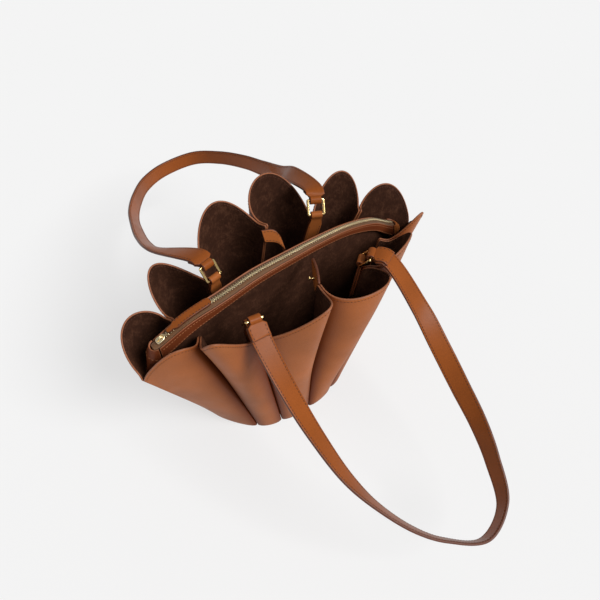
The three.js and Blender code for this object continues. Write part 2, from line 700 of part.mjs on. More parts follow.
// The tab folds over the ring's lower bar and both its layers run down the fin's end
const ANCHOR_STATIONS = [1, 0.5, 0.06];
const ANCHOR_NECK = 5.5;

function ringTab(ring, frame) {
  const layer = (ANCHOR_THICKNESS + SEAT_GAP) / 2;
  const along = (inwardShift, drop) => {
    const { root, inward, depth, lift } = seamAt(ring.seams[ring.seam], ring.side, 1 - drop / frame.finEnd.z);
    const place = root.addScaledVector(inward, depth + ANCHOR_THICKNESS + 2 * SEAT_GAP + inwardShift);
    place.z += lift;
    return { place, across: frame.across, width: ANCHOR_WIDTH };
  };
  const drops = ANCHOR_STATIONS.map((share) => share * ANCHOR_LENGTH);
  const back = drops.map((drop) => along(-layer, drop));
  const front = drops.map((drop) => along(layer, drop)).reverse();
  const turns = [[-layer, -ANCHOR_NECK], ...turnRound(ANCHOR_THICKNESS, 215, -35, 6), [layer, -ANCHOR_NECK]];
  const loop = turns.map(([along, above]) => ({
    place: frame.place.clone().addScaledVector(frame.inward, along).addScaledVector(UP, above),
    across: frame.across,
    width: TONGUE_WIDTH,
  }));
  return band([...back, ...loop, ...front], ANCHOR_THICKNESS);
}

// A strap's neck round the ring's upper bar, from the folded layer to the long one. fold is 1 where the
// folded layer lies on top and -1 where it lies beneath
function strapNeck(frame, fold) {
  const bar = frame.place.clone().addScaledVector(frame.height, RING_HEIGHT - RING_BAR);
  const above = new THREE.Vector3().crossVectors(frame.across, frame.away);
  if (above.z < 0) above.negate();
  const layer = (STRAP_THICKNESS + SEAT_GAP) / 2;
  const at = (along, up) => bar.clone().addScaledVector(frame.away, along).addScaledVector(above, up * fold);
  const turns = [[NECK_LENGTH, layer], ...turnRound(STRAP_THICKNESS, 35, 325, 7), [NECK_LENGTH, -layer]];
  return {
    stations: turns.map(([along, up]) => ({ place: at(along, up), across: frame.across, width: TONGUE_WIDTH })),
    ways: [at(NECK_LENGTH, -layer), at(frame.straight, -layer)],
  };
}

const STRAP_STEPS = 46;
const STRAP_CROWDING = 0.7;
const FOLD_STATIONS = [1, 0.7, 0.45, 0.25, 0.1];

function strapBand(table, side, fold, leftFrame, rightFrame) {
  const places = table.map(({ x, out, up }) => new THREE.Vector3(
    x * STRAP_SPREAD, side * (RIM_HALF_DEPTH + out * STRAP_REACH), lerp(LOOP_HEIGHT, RIM_HEIGHT, up)));
  const left = strapNeck(leftFrame, fold);
  const right = strapNeck(rightFrame, fold);
  const ways = [...left.ways, ...places, ...right.ways.reverse()];
  const way = new THREE.CatmullRomCurve3(ways, false, 'centripetal');
  const twists = [0, 0, ...table.map(({ twist }) => twist), 0, 0];
  const length = way.getLength();
  const station = (distance, lift, width) => {
    const share = way.getUtoTmapping(distance / length);
    const ahead = way.getTangent(share);
    const level = new THREE.Vector3().crossVectors(ahead, UP).normalize();
    const raised = new THREE.Vector3().crossVectors(level, ahead);
    const twist = smoothValue(twists, share) * DEGREE;
    const across = level.multiplyScalar(-side * Math.cos(twist)).addScaledVector(raised, Math.sin(twist));
    const above = new THREE.Vector3().crossVectors(across, ahead).multiplyScalar(-side);
    return { place: way.getPoint(share).addScaledVector(above, lift), across, width };
  };
  const folded = (distance) => station(distance, fold * (STRAP_THICKNESS + SEAT_GAP), FOLD_WIDTH);
  const folds = FOLD_STATIONS.map((share) => share * (FOLD_LENGTH - NECK_LENGTH));
  const middle = [];
  for (let i = 1; i < STRAP_STEPS; i++) {
    const turn = 2 * Math.PI * i / STRAP_STEPS;
    middle.push(length * (turn - STRAP_CROWDING * Math.sin(turn)) / (2 * Math.PI));
  }
  return band([
    ...folds.map(folded), ...left.stations,
    ...middle.map((distance) => station(distance, 0, STRAP_WIDTH)),
    ...right.stations.reverse(), ...folds.reverse().map((distance) => folded(length - distance)),
  ], STRAP_THICKNESS);
}

const frames = RINGS.map(ringFrame);
for (const [i, ring] of RINGS.entries()) {
  add(`ring_${ring.name}`, ringBody(frames[i]), gold);
  add(`ring_tab_${ring.name}`, ringTab(ring, frames[i]), tan);
}
add('strap_front', strapBand(FRONT_STRAP, -1, 1, frames[0], frames[1]), tan);
add('strap_back', strapBand(BACK_STRAP, 1, -1, frames[2], frames[3]), tan);

// Closure tabs: leaves that stand on the ends of the two middle seams

function leafTab(stations, height) {
  const widened = stations.map(({ place, across, share }) => ({ place, across, width: height * share }));
  return band(widened, TAB_THICKNESS);
}

const FRONT_TAB_SHARES = [0.85, 1, 1, 0.85, 0.55, 0.2];

// The front tab's frame: where it starts, its way, its upright and the way its left face looks
function frontTabFrame() {
  const { root, inward, depth, lift } = seamAt(FRONT_SEAMS[3], -1, 1);
  const way = planDirection(FRONT_TAB_TURN);
  const upright = UP.clone().applyAxisAngle(way, FRONT_TAB_LEAN);
  const start = root.addScaledVector(inward, depth + 2 * SEAT_GAP);
  start.z += lift - TAB_HEIGHT / 2;
  return { start, way, upright, out: new THREE.Vector3().crossVectors(upright, way) };
}

function frontTab() {
  const { start, way, upright } = frontTabFrame();
  return leafTab(FRONT_TAB_SHARES.map((share, i) => {
    const run = i / (FRONT_TAB_SHARES.length - 1);
    const place = start.clone().addScaledVector(way, run * FRONT_TAB_LENGTH);
    place.z += run * FRONT_TAB_RISE;
    return { place, across: upright, share };
  }), TAB_HEIGHT);
}

function backTab() {
  return leafTab(BACK_TAB.map(({ along, in: inward, down, share }) => {
    const seam = seamAt(BACK_SEAMS[3], 1, 1);
    const place = seam.root.addScaledVector(seam.inward, seam.depth + inward);
    place.x += along;
    place.z += seam.lift - down;
    return { place, across: new THREE.Vector3(0, 0.5, 0.85).normalize(), share };
  }), TAB_HEIGHT);
}

// A stud with a neck and a flat head stands on the left face of the front tab
const STUD_PROFILE = [
  { radius: 0, rise: 0 },
  { radius: STUD_NECK, rise: 0 },
  { radius: STUD_NECK, rise: 0.6 },
  { radius: STUD_HEAD, rise: 0.7 },
  { radius: STUD_HEAD * 0.8, rise: 1 },
  { radius: 0, rise: 1 },
];

function studBody() {
  const profile = STUD_PROFILE.map(({ radius, rise }) => new THREE.Vector2(radius, rise * STUD_REACH));
  const geometry = new THREE.LatheGeometry(profile, 12);
  const { start, way, upright, out } = frontTabFrame();
  const place = start.addScaledVector(way, STUD_PLACE * FRONT_TAB_LENGTH)
    .addScaledVector(out, TAB_THICKNESS / 2 + 2 * SEAT_GAP);
  place.z += STUD_PLACE * FRONT_TAB_RISE;
  geometry.applyMatrix4(new THREE.Matrix4().makeBasis(way, out, upright).setPosition(place));
  return geometry;
}

add('closure_tab_front', frontTab(), tan);
add('closure_tab_back', backTab(), tan);
add('closure_stud', studBody(), gold);

export default model;
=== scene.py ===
import math
from bisect import bisect_right
from collections import namedtuple

import bpy
from mathutils import Matrix, Vector


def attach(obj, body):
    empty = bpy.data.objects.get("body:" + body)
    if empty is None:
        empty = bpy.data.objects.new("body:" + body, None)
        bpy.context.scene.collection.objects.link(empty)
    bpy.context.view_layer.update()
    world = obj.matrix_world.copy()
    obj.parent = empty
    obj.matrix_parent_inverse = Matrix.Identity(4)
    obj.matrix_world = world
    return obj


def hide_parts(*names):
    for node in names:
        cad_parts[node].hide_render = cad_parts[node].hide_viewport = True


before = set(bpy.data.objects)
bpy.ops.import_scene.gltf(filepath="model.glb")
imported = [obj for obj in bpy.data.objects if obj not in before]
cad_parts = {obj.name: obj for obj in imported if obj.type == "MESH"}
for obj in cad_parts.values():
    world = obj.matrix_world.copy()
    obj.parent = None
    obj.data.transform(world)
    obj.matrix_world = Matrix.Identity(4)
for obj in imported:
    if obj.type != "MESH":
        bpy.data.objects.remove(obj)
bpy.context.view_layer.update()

# Driving sizes, as in the source
RIM_HALF_WIDTH = 170
RIM_HALF_DEPTH = 50
RIM_HEIGHT = 210
BASE_HALF_WIDTH = 90
BASE_HALF_DEPTH = 57
LEATHER = 1.8
SEAM_GAP = 0.6
SEAT_GAP = 0.3
JOINT_GAP = 0.8

# Flutes
FIN_DEPTH = 11
BASE_FIN_DEPTH = 5
SWELL = 60
BASE_SWELL = 6
SCALLOP = 35
FIN_LIFT = 10
BASE_SPREAD = math.radians(52)
SCALLOP_POWER = 1.3

# Straps, rings and their tabs
STRAP_WIDTH = 19.5
STRAP_THICKNESS = 2.4
STRAP_SPREAD = 85
STRAP_REACH = 235
LOOP_HEIGHT = 90
FOLD_LENGTH = 17.5
FOLD_WIDTH = 18.4
TONGUE_WIDTH = 11.8
NECK_LENGTH = 2.8
RING_WIDTH = 18.4
RING_HEIGHT = 17
RING_BAR = 2.4
RING_THICKNESS = 2.2
RING_CORNER = 2
RING_RISE = 10
ANCHOR_LENGTH = 38
ANCHOR_WIDTH = 14
ANCHOR_THICKNESS = 1.6

# Closure tabs and stud
TAB_THICKNESS = 2.4
TAB_HEIGHT = 15
FRONT_TAB_LENGTH = 32
FRONT_TAB_TURN = math.radians(60)
FRONT_TAB_LEAN = math.radians(9)
FRONT_TAB_RISE = 4
STUD_PLACE = 0.32
STUD_REACH = 6
STUD_HEAD = 2
STUD_NECK = 0.8

# Middle pouch
POUCH_HALF_LENGTH = 150
POUCH_HEIGHT = 210
POUCH_CENTRE = 2.5
POUCH_HALF_GAP = 3.2
POUCH_BOTTOM = 70
POUCH_WALL = 1.5
POUCH_SIDE_CLEARANCE = 9
HEADER_HALF_WIDTH = 5.2
HEADER_DROP = 1.2
FACING_DEPTH = 5
FACING_THICKNESS = 1.5
FACING_STAND = 0.5
FACING_FLARE = 2.4
FACING_BOW = 0.3
SHOULDER_DEPTH = 28
TAPE_THICKNESS = 0.8
TEETH_WIDTH = 4.4
TEETH_THICKNESS = 1.4
SLIDER_LENGTH = 9
SLIDER_WIDTH = 8
PULL_LENGTH = 46
PULL_WIDTH = 9
PULL_THICKNESS = 2.6
PULL_NECK = 5
PULL_START = 2
PULL_RISE = 3.9
NOSE_ROUND = 6
NOSE_LENGTH_LEFT = 5
NOSE_LENGTH_RIGHT = 14
NOSE_DROP = 20
NOSE_MERGE = 12
NOSE_CLEARANCE = 4
TAPE_END = 1.5
ZIP_END = 0.985
SLIDER_PLACE = 0.037

# The seams of each side, as in the source
Seam = namedtuple("Seam", "x y z turn lift foot open open_left fin", defaults=(0, None, 1))
FRONT_SEAMS = [
    Seam(-0.98, -0.13, 0.765, 150, 0, -1),
    Seam(-0.65, -0.28, 0.87, 57, -1.2, -0.68),
    Seam(-0.43, -1.02, 0.924, 80, 0.1, -0.39, 58, 75),
    Seam(0.02, -0.85, 0.995, 74, 0, 0, fin=0.12),
    Seam(0.37, -1.06, 0.972, 126, -0.6, 0.39),
    Seam(0.687, -0.44, 0.854, 151, 0.45, 0.68),
    Seam(1, -0.08, 0.777, 72, 0, 1),
]
BACK_SEAMS = [
    Seam(-0.98, -0.13, 0.765, -78, 0, -1),
    Seam(-0.715, 0.53, 0.862, -77, 0.6, -0.68),
    Seam(-0.42, 0.7, 0.917, -80, 0.2, -0.39, 20),
    Seam(0.006, 0.98, 1.018, -77, 0.4, 0),
    Seam(0.382, 0.83, 0.902, -117, 0.755, 0.39, 12),
    Seam(0.695, 0.535, 0.89, -131, 0.7, 0.68),
    Seam(1, -0.08, 0.777, -111, 0, 1),
]
Panel = namedtuple("Panel", "left right scallop")
FRONT_PANELS = [
    Panel(0.23, 0.45, 0.72),
    Panel(0.83, 0.73, 1.05),
    Panel(1.03, 0.93, 0.92),
    Panel(0.9, 0.78, 0.2),
    Panel(0.45, 0.63, 0.7),
    Panel(0.48, 0.57, 1.06),
]
BACK_PANELS = [
    Panel(1.05, 0.27, 0.48),
    Panel(0.66, 0.95, 0.6),
    Panel(0.98, 0.65, 0.88),
    Panel(0.78, 1.23, 0.75),
    Panel(0.63, 0.6, 0.92),
    Panel(0.17, 0.45, 0.89),
]
Ring = namedtuple("Ring", "name side seam steep leave straight")
RINGS = [
    Ring("front_left", -1, 2, 60, -32, 1),
    Ring("front_right", -1, 4, 54, 5, 0.8),
    Ring("back_left", 1, 2, 50, 10, 0.55),
    Ring("back_right", 1, 4, 46, 35, 0.5),
]
Way = namedtuple("Way", "x out up twist")
FRONT_STRAP = [
    Way(-0.9, 0.25, 0.73, 14),
    Way(-0.89, 0.39, 0.58, 24),
    Way(-0.825, 0.56, 0.38, 36),
    Way(-0.71, 0.69, 0.25, 50),
    Way(-0.49, 0.83, 0.1, 56),
    Way(-0.23, 0.93, -0.01, 62),
    Way(0.19, 1.02, -0.11, 68),
    Way(0.6, 0.97, -0.07, 76),
    Way(0.795, 0.82, 0.08, 70),
    Way(0.88, 0.69, 0.22, 59),
    Way(0.92, 0.54, 0.38, 43),
    Way(0.94, 0.38, 0.58, 24),
    Way(0.955, 0.24, 0.75, 8),
]
BACK_STRAP = [
    Way(-1.05, 0.19, 0.83, 28),
    Way(-1, 0.34, 0.64, 41),
    Way(-0.86, 0.51, 0.46, 53),
    Way(-0.72, 0.64, 0.34, 62),
    Way(-0.48, 0.78, 0.22, 70),
    Way(-0.14, 0.91, 0.12, 77),
    Way(0.25, 0.97, 0.08, 81),
    Way(0.73, 0.94, 0.12, 87),
    Way(1, 0.83, 0.19, 91),
    Way(1.14, 0.66, 0.32, 88),
    Way(1.15, 0.51, 0.45, 80),
    Way(1.04, 0.335, 0.68, 58),
    Way(0.92, 0.2, 0.92, 32),
]
Curl = namedtuple("Curl", "along inward down share")
BACK_TAB = [
    Curl(-8, 3, 9, 0.85),
    Curl(0, 8.5, 9.5, 0.95),
    Curl(3, 13, 13, 0.95),
    Curl(3.5, 17, 20, 0.8),
    Curl(3, 21, 28, 0.55),
    Curl(2, 23, 36, 0.25),
]
FRONT_TAB_WIDTHS = [0.85, 1, 1, 0.85, 0.55, 0.2]
POUCH_HEIGHTS = [0.871, 0.938, 0.963, 0.992, 0.993, 0.988, 0.967, 0.907, 0.79]
POUCH_HALVES = [0.84, 0.93, 1, 0.97, 0.82, 0.68, 0.62, 0.68, 0.84]
POUCH_FACINGS = [2.6, 2.2, 1.6, 1.4, 1.4, 1.4, 1.5, 1.9, 2.6]

# Finer detail that only the looks have
MM = 0.001
UP = Vector((0, 0, 1))
BACKWARD = Vector((0, 1, 0))
EDGE_ROUND = 0.8
FIN_CORNER = 3
SIDE_CORNER = 6
STITCH_INSET = 4
STITCH_PITCH = 3.1
STITCH_LENGTH = 2.3
STITCH_WIDTH = 0.65
STITCH_HEIGHT = 0.3
STRAP_STITCH_INSET = 2.1
TAB_STITCH_INSET = 2
RING_TAB_STITCH_INSET = 1.8
PULL_STITCH_INSET = 1.4
PULL_STITCH_LIFT = 0.1
TOOTH_PITCH = 2.5
TOOTH_CHAMFER = 0.15
# How far the painted shade reaches from each fold, at the foot and at the rim
FOLD_SHADE = (8, 19)
STRAP_COLUMNS = 9
TAB_COLUMNS = 11
TAPE_COLUMNS = 17
PULL_STEPS = 40
STRAP_SAMPLES = 1200
STUD_SIDES = 28

# Camera at the photograph's viewing angle
CAMERA_AZIMUTH = math.radians(-43.513)
CAMERA_ELEVATION = math.radians(52.756)
CAMERA_ROLL = math.radians(6.606)
CAMERA_DISTANCE = 694.39
CAMERA_TARGET_HEIGHT = 120
CAMERA_ACROSS = 17.31
CAMERA_RISE = 12.93
FOCAL_PIXELS = 659.78
PHOTO_WIDTH = 600
SENSOR = 36

# Studio
WHITE = (1, 1, 1, 1)
SKY_STRENGTH = 0.36
KEY_ENERGY = 3
KEY_SPREAD = math.radians(30)
KEY_DIRECTION = Vector((0.25, -0.7, 0.9))
FLOOR_REACH = 6
FLOOR_DROP = 0.0004


def make_camera():
    level = math.cos(CAMERA_ELEVATION)
    back = Vector((math.sin(CAMERA_AZIMUTH) * level, -math.cos(CAMERA_AZIMUTH) * level,
                   math.sin(CAMERA_ELEVATION)))
    right = UP.cross(back).normalized()
    over = back.cross(right)
    across = right * math.cos(CAMERA_ROLL) + over * math.sin(CAMERA_ROLL)
    rise = over * math.cos(CAMERA_ROLL) - right * math.sin(CAMERA_ROLL)
    target = UP * CAMERA_TARGET_HEIGHT + across * CAMERA_ACROSS + rise * CAMERA_RISE
    place = (target + back * CAMERA_DISTANCE) * MM
    camera = bpy.data.objects.new("camera", bpy.data.cameras.new("camera"))
    camera.data.sensor_width = SENSOR
    camera.data.lens = FOCAL_PIXELS * SENSOR / PHOTO_WIDTH
    camera.data.clip_start = 0.01
    camera.matrix_world = Matrix.Translation(place) @ Matrix((across, rise, back)).transposed().to_4x4()
    bpy.context.scene.collection.objects.link(camera)
    bpy.context.scene.camera = camera


make_camera()


# Looks


class Look:
    """A material whose colour, roughness and relief come from its nodes."""

    def __init__(self, name, **sockets):
        self.material = bpy.data.materials.new(name)
        self.material.use_nodes = True
        self.nodes = self.material.node_tree.nodes
        self.links = self.material.node_tree.links
        self.shader = self.nodes["Principled BSDF"]
        for socket, value in sockets.items():
            self.shader.inputs[socket.replace("_", " ")].default_value = value
        self.place = self.nodes.new("ShaderNodeTexCoord").outputs["Object"]

    def put(self, target, value):
        if hasattr(value, "links"):
            self.links.new(value, target)
        else:
            target.default_value = value

    def noise(self, scale, detail=3.0, rough=0.55, stretch=(1, 1, 1), warp=0.0):
        mapping = self.nodes.new("ShaderNodeMapping")
        mapping.inputs["Scale"].default_value = stretch
        self.links.new(self.place, mapping.inputs["Vector"])
        texture = self.nodes.new("ShaderNodeTexNoise")
        self.links.new(mapping.outputs["Vector"], texture.inputs["Vector"])
        values = {"Scale": scale, "Detail": detail, "Roughness": rough, "Distortion": warp}
        for socket, value in values.items():
            texture.inputs[socket].default_value = value
        return texture.outputs["Fac"]

    def cells(self, scale):
        texture = self.nodes.new("ShaderNodeTexVoronoi")
        texture.feature = "DISTANCE_TO_EDGE"
        self.links.new(self.place, texture.inputs["Vector"])
        texture.inputs["Scale"].default_value = scale
        return texture.outputs["Distance"]

    def waves(self, scale, axis, warp=0.0):
        texture = self.nodes.new("ShaderNodeTexWave")
        texture.bands_direction = axis
        self.links.new(self.place, texture.inputs["Vector"])
        texture.inputs["Scale"].default_value = scale
        texture.inputs["Distortion"].default_value = warp
        return texture.outputs["Fac"]

    def value_of(self, name):
        attribute = self.nodes.new("ShaderNodeAttribute")
        attribute.attribute_name = name
        return attribute.outputs["Fac"]

    def ramp(self, value, *stops):
        ramp = self.nodes.new("ShaderNodeValToRGB")
        elements = ramp.color_ramp.elements
        while len(elements) < len(stops):
            elements.new(0.5)
        for element, (position, colour) in zip(elements, stops):
            element.position = position
            element.color = colour
        self.links.new(value, ramp.inputs["Fac"])
        return ramp.outputs["Color"]

    def blend(self, share, first, second):
        mix = self.nodes.new("ShaderNodeMix")
        mix.data_type = "RGBA"
        self.put(mix.inputs["Factor"], share)
        self.put(mix.inputs[6], first)
        self.put(mix.inputs[7], second)
        return mix.outputs[2]

    def sum(self, first, second, operation="ADD"):
        node = self.nodes.new("ShaderNodeMath")
        node.operation = operation
        self.put(node.inputs[0], first)
        self.put(node.inputs[1], second)
        return node.outputs["Value"]

    def range(self, value, low, high):
        node = self.nodes.new("ShaderNodeMapRange")
        self.links.new(value, node.inputs["Value"])
        node.inputs["To Min"].default_value = low
        node.inputs["To Max"].default_value = high
        return node.outputs["Result"]

    def finish(self, colour, roughness, height, depth, strength=0.6):
        bump = self.nodes.new("ShaderNodeBump")
        bump.inputs["Strength"].default_value = strength
        bump.inputs["Distance"].default_value = depth
        self.links.new(height, bump.inputs["Height"])
        self.links.new(bump.outputs["Normal"], self.shader.inputs["Normal"])
        self.links.new(colour, self.shader.inputs["Base Color"])
        self.links.new(roughness, self.shader.inputs["Roughness"])
        return self.material


def linear(red, green, blue, shade=1.0):
    """A screen colour, from 0 to 255, as the renderer's own."""
    parts = [value * shade / 255 for value in (red, green, blue)]
    return [p / 12.92 if p <= 0.04045 else ((p + 0.055) / 1.055) ** 2.4 for p in parts] + [1]


def shades(colour, *stops):
    """The stops of a colour ramp: shades of one colour, each with its position."""
    return [(position, linear(*colour, shade=shade)) for position, shade in stops]


# Painted shade: the dark colour laid into the leather beside the petals' inner folds
CREASE_SHADE = (94, 40, 13)


def leather_look(name, colour, gloss=0.44):
    """Smooth bridle leather: a slow drift of tone, fine pores, a satin surface and painted shade beside its
    folds.
    """
    look = Look(name, Specular_IOR_Level=0.1)
    drift = look.ramp(look.noise(16, 2.0), *shades(colour, (0.3, 0.9), (0.7, 1.06)))
    grain = look.noise(900, 4.0, 0.6)
    tone = look.blend(0.22, drift, look.ramp(grain, *shades(colour, (0.35, 0.72), (0.65, 1.12))))
    # Painted shade near the folds, by the "fold" value that each petal keeps
    tone = look.blend(look.value_of("fold"), tone, linear(*CREASE_SHADE))
    pores = look.range(look.cells(760), 0.0, 1.0)
    height = look.sum(look.sum(grain, 0.6, "MULTIPLY"), look.sum(pores, 1.2, "MULTIPLY"))
    return look.finish(tone, look.range(look.noise(60), gloss - 0.07, gloss + 0.09), height, 0.00012, 0.35)


def suede_look(name, dark, light):
    """Brushed suede: patches of nap laid different ways, short fibres and a soft sheen."""
    look = Look(name, Specular_IOR_Level=0.06, Sheen_Weight=0.1, Sheen_Roughness=0.5)
    look.shader.inputs["Sheen Tint"].default_value = linear(190, 120, 80)
    patches = look.noise(90, 6.0, 0.7, warp=0.4)
    streaks = look.noise(500, 4.0, 0.7, stretch=(1, 1, 0.5), warp=0.3)
    nap = look.sum(look.sum(patches, 0.6, "MULTIPLY"), look.sum(streaks, 0.4, "MULTIPLY"))
    tone = look.ramp(nap, (0.36, linear(*dark)), (0.5, linear(*dark, shade=1.25)), (0.66, linear(*light)))
    fibres = look.noise(2400, 3.0, 0.7)
    return look.finish(tone, look.range(fibres, 0.86, 1.0), look.sum(fibres, streaks), 0.0004, 0.55)


def edge_look(name, colour, gloss):
    """A cut or painted leather edge, with faint layers along it."""
    look = Look(name, Specular_IOR_Level=0.4)
    layers = look.noise(500, 3.0, 0.6, stretch=(1, 1, 2.5))
    tone = look.ramp(layers, *shades(colour, (0.3, 0.85), (0.7, 1.1)))
    return look.finish(tone, look.range(layers, gloss - 0.08, gloss + 0.1), layers, 0.0002, 0.4)


def metal_look(name, colour, gloss):
    """Polished plated brass with faint handling marks."""
    look = Look(name, Metallic=1.0)
    marks = look.noise(700, 4.0, 0.7, stretch=(1, 1, 3), warp=1.5)
    tone = look.ramp(look.noise(90), *shades(colour, (0.3, 0.94), (0.7, 1.03)))
    return look.finish(tone, look.range(marks, gloss - 0.06, gloss + 0.1), marks, 0.00003, 0.3)


def woven_look(name, colour):
    """Zip tape: a fine herringbone of threads with a silky face."""
    look = Look(name, Specular_IOR_Level=0.4, Sheen_Weight=0.3, Sheen_Roughness=0.4)
    across = look.waves(420, "X")
    along = look.waves(360, "Y", 0.6)
    threads = look.sum(across, along, "MULTIPLY")
    tone = look.ramp(threads, *shades(colour, (0.05, 0.62), (0.6, 1.15)))
    return look.finish(tone, look.range(look.noise(300), 0.5, 0.7), threads, 0.0002, 0.7)


def floor_look():
    look = Look("studio floor", Specular_IOR_Level=0.05, Emission_Strength=0.64)
    look.shader.inputs["Emission Color"].default_value = WHITE
    tone = look.ramp(look.noise(3, 2.0), (0.3, linear(134, 134, 134)), (0.7, linear(135, 135, 135)))
    return look.finish(tone, look.range(look.noise(30), 0.85, 0.95), look.noise(400), 0.0001, 0.05)


TAN = leather_look("tan leather", (156, 88, 42), 0.46)
# Painted shade: a darker, more orange copy of the tan leather for the straps and the zip pull
SHADED_STRAP_TAN = leather_look("shaded strap leather", (140, 74, 30), 0.34)
# Painted shade: a darker copy of the tan leather for the facings and the left nose, which lie in shadow
SHADED_FACING_TAN = leather_look("shaded facing leather", (104, 50, 26), 0.36)
SUEDE = suede_look("brown suede", (48, 29, 21), (88, 58, 43))
EDGE = edge_look("cut edge", (144, 86, 54), 0.5)
PAINTED = edge_look("painted edge", (92, 46, 24), 0.4)
THREAD = edge_look("thread", (70, 34, 16), 0.6)
PALE_THREAD = edge_look("pale thread", (158, 100, 62), 0.6)
GOLD = metal_look("gold metal", (236, 204, 140), 0.16)
TEETH_GOLD = metal_look("teeth metal", (250, 232, 190), 0.3)
TAPE = woven_look("zip tape", (122, 82, 48))


# Meshes


class Body:
    """Points, faces and the look of each face, gathered for one piece."""

    def __init__(self):
        self.points = []
        self.faces = []
        self.looks = []

    def face(self, corners, look=0):
        self.faces.append(corners)
        self.looks.append(look)

    def put(self, points):
        first = len(self.points)
        self.points.extend(points)
        return first

    def loft(self, rings, count):
        """Faces between rings of points, each ring given by its first point."""
        for here, there in zip(rings, rings[1:]):
            for k in range(count):
                n = (k + 1) % count
                self.face([here + k, here + n, there + n, there + k])

    def caps(self, low, high, count):
        """The two end faces of a loft."""
        self.face(list(range(low + count - 1, low - 1, -1)))
        self.face(list(range(high, high + count)))

    def piece(self, name, materials, slot, *stands_for):
        mesh = bpy.data.meshes.new(name)
        mesh.from_pydata([point * MM for point in self.points], [], self.faces)
        for material in materials:
            mesh.materials.append(material)
        mesh.polygons.foreach_set("material_index", self.looks)
        mesh.polygons.foreach_set("use_smooth", [True] * len(self.faces))
        mesh.update()
        piece = bpy.data.objects.new(name, mesh)
        bpy.context.scene.collection.objects.link(piece)
        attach(piece, "root")
        if stands_for:
            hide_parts(*stands_for)
        return piece


def lerp(first, second, share):
    return first + (second - first) * share


def smooth_value(values, share):
    place = share * (len(values) - 1)
    i = min(int(place), len(values) - 2)
    t = place - i
    a, b, c, d = (values[min(max(k, 0), len(values) - 1)] for k in (i - 1, i, i + 1, i + 2))
    return b + t * ((c - a) / 2 + t * (a - 2.5 * b + 2 * c - d / 2 + t * (1.5 * (b - c) + (d - a) / 2)))


def normals_of(grid):
    """The unit normal at each point of a grid, from its columns towards its rows."""
    last_row, last_column = len(grid) - 1, len(grid[0]) - 1
    normals = []
    for r, row in enumerate(grid):
        line = []
        for c in range(last_column + 1):
            across = row[min(c + 1, last_column)] - row[max(c - 1, 0)]
            ahead = grid[min(r + 1, last_row)][c] - grid[max(r - 1, 0)][c]
            line.append(across.cross(ahead).normalized())
        normals.append(line)
    return normals


RIM_ANGLES = [math.radians(angle) for angle in (60, 30, 0, -30, -60)]


def sheet(body, grid, thickness, looks=(0, 0, 0), rim=EDGE_ROUND):
    """A sheet with two skins and a rounded edge. looks are those of its upper skin, lower skin and edge."""
    normals = normals_of(grid)
    rows, columns = len(grid), len(grid[0])
    half = thickness / 2
    loop = [(0, c) for c in range(columns - 1)] + [(r, columns - 1) for r in range(rows - 1)]
    loop += [(rows - 1, c) for c in range(columns - 1, 0, -1)] + [(r, 0) for r in range(rows - 1, 0, -1)]
    outward = []
    for r, c in loop:
        away = Vector((0, 0, 0))
        if r in (0, rows - 1):
            away += (grid[r][c] - grid[1 if r == 0 else rows - 2][c]).normalized()
        if c in (0, columns - 1):
            away += (grid[r][c] - grid[r][1 if c == 0 else columns - 2]).normalized()
        outward.append(away)
    middle = [list(row) for row in grid]
    for (r, c), away in zip(loop, outward):
        middle[r][c] = grid[r][c] - away * rim
    upper = body.put([middle[r][c] + normals[r][c] * half for r in range(rows) for c in range(columns)])
    lower = body.put([middle[r][c] - normals[r][c] * half for r in range(rows) for c in range(columns)])
    for r in range(rows - 1):
        for c in range(columns - 1):
            a = r * columns + c
            b, d, e = a + 1, a + columns + 1, a + columns
            body.face([upper + a, upper + b, upper + d, upper + e], looks[0])
            body.face([lower + a, lower + e, lower + d, lower + b], looks[1])
    chain = []
    for (r, c), away in zip(loop, outward):
        ring = [middle[r][c] + away * (rim * math.cos(angle)) + normals[r][c] * (half * math.sin(angle))
                for angle in RIM_ANGLES]
        first = body.put(ring)
        at = r * columns + c
        chain.append([upper + at, *range(first, first + len(ring)), lower + at])
    for here, there in zip(chain, chain[1:] + chain[:1]):
        for k in range(len(here) - 1):
            body.face([here[k], here[k + 1], there[k + 1], there[k]], looks[2])
    return normals


def circle(centre, first, second, sides):
    """Points round a centre, from two half axes."""
    angles = [math.tau * k / sides for k in range(sides)]
    return [centre + first * math.cos(angle) + second * math.sin(angle) for angle in angles]


def stitch(body, place, ahead, normal, look=0):
    """One thread lying half sunk in the leather."""
    beside = ahead.cross(normal).normalized()
    sides = 5
    first = body.put([place - ahead * (STITCH_LENGTH / 2), place + ahead * (STITCH_LENGTH / 2)])
    rings = []
    for along in (-0.34, 0.34):
        centre = place + ahead * (along * STITCH_LENGTH)
        rings.append(body.put(circle(centre, beside * (STITCH_WIDTH / 2), normal * STITCH_HEIGHT, sides)))
    for k in range(sides):
        n = (k + 1) % sides
        body.face([first, rings[0] + n, rings[0] + k], look)
        body.face([rings[0] + k, rings[0] + n, rings[1] + n, rings[1] + k], look)
        body.face([rings[1] + k, rings[1] + n, first + 1], look)


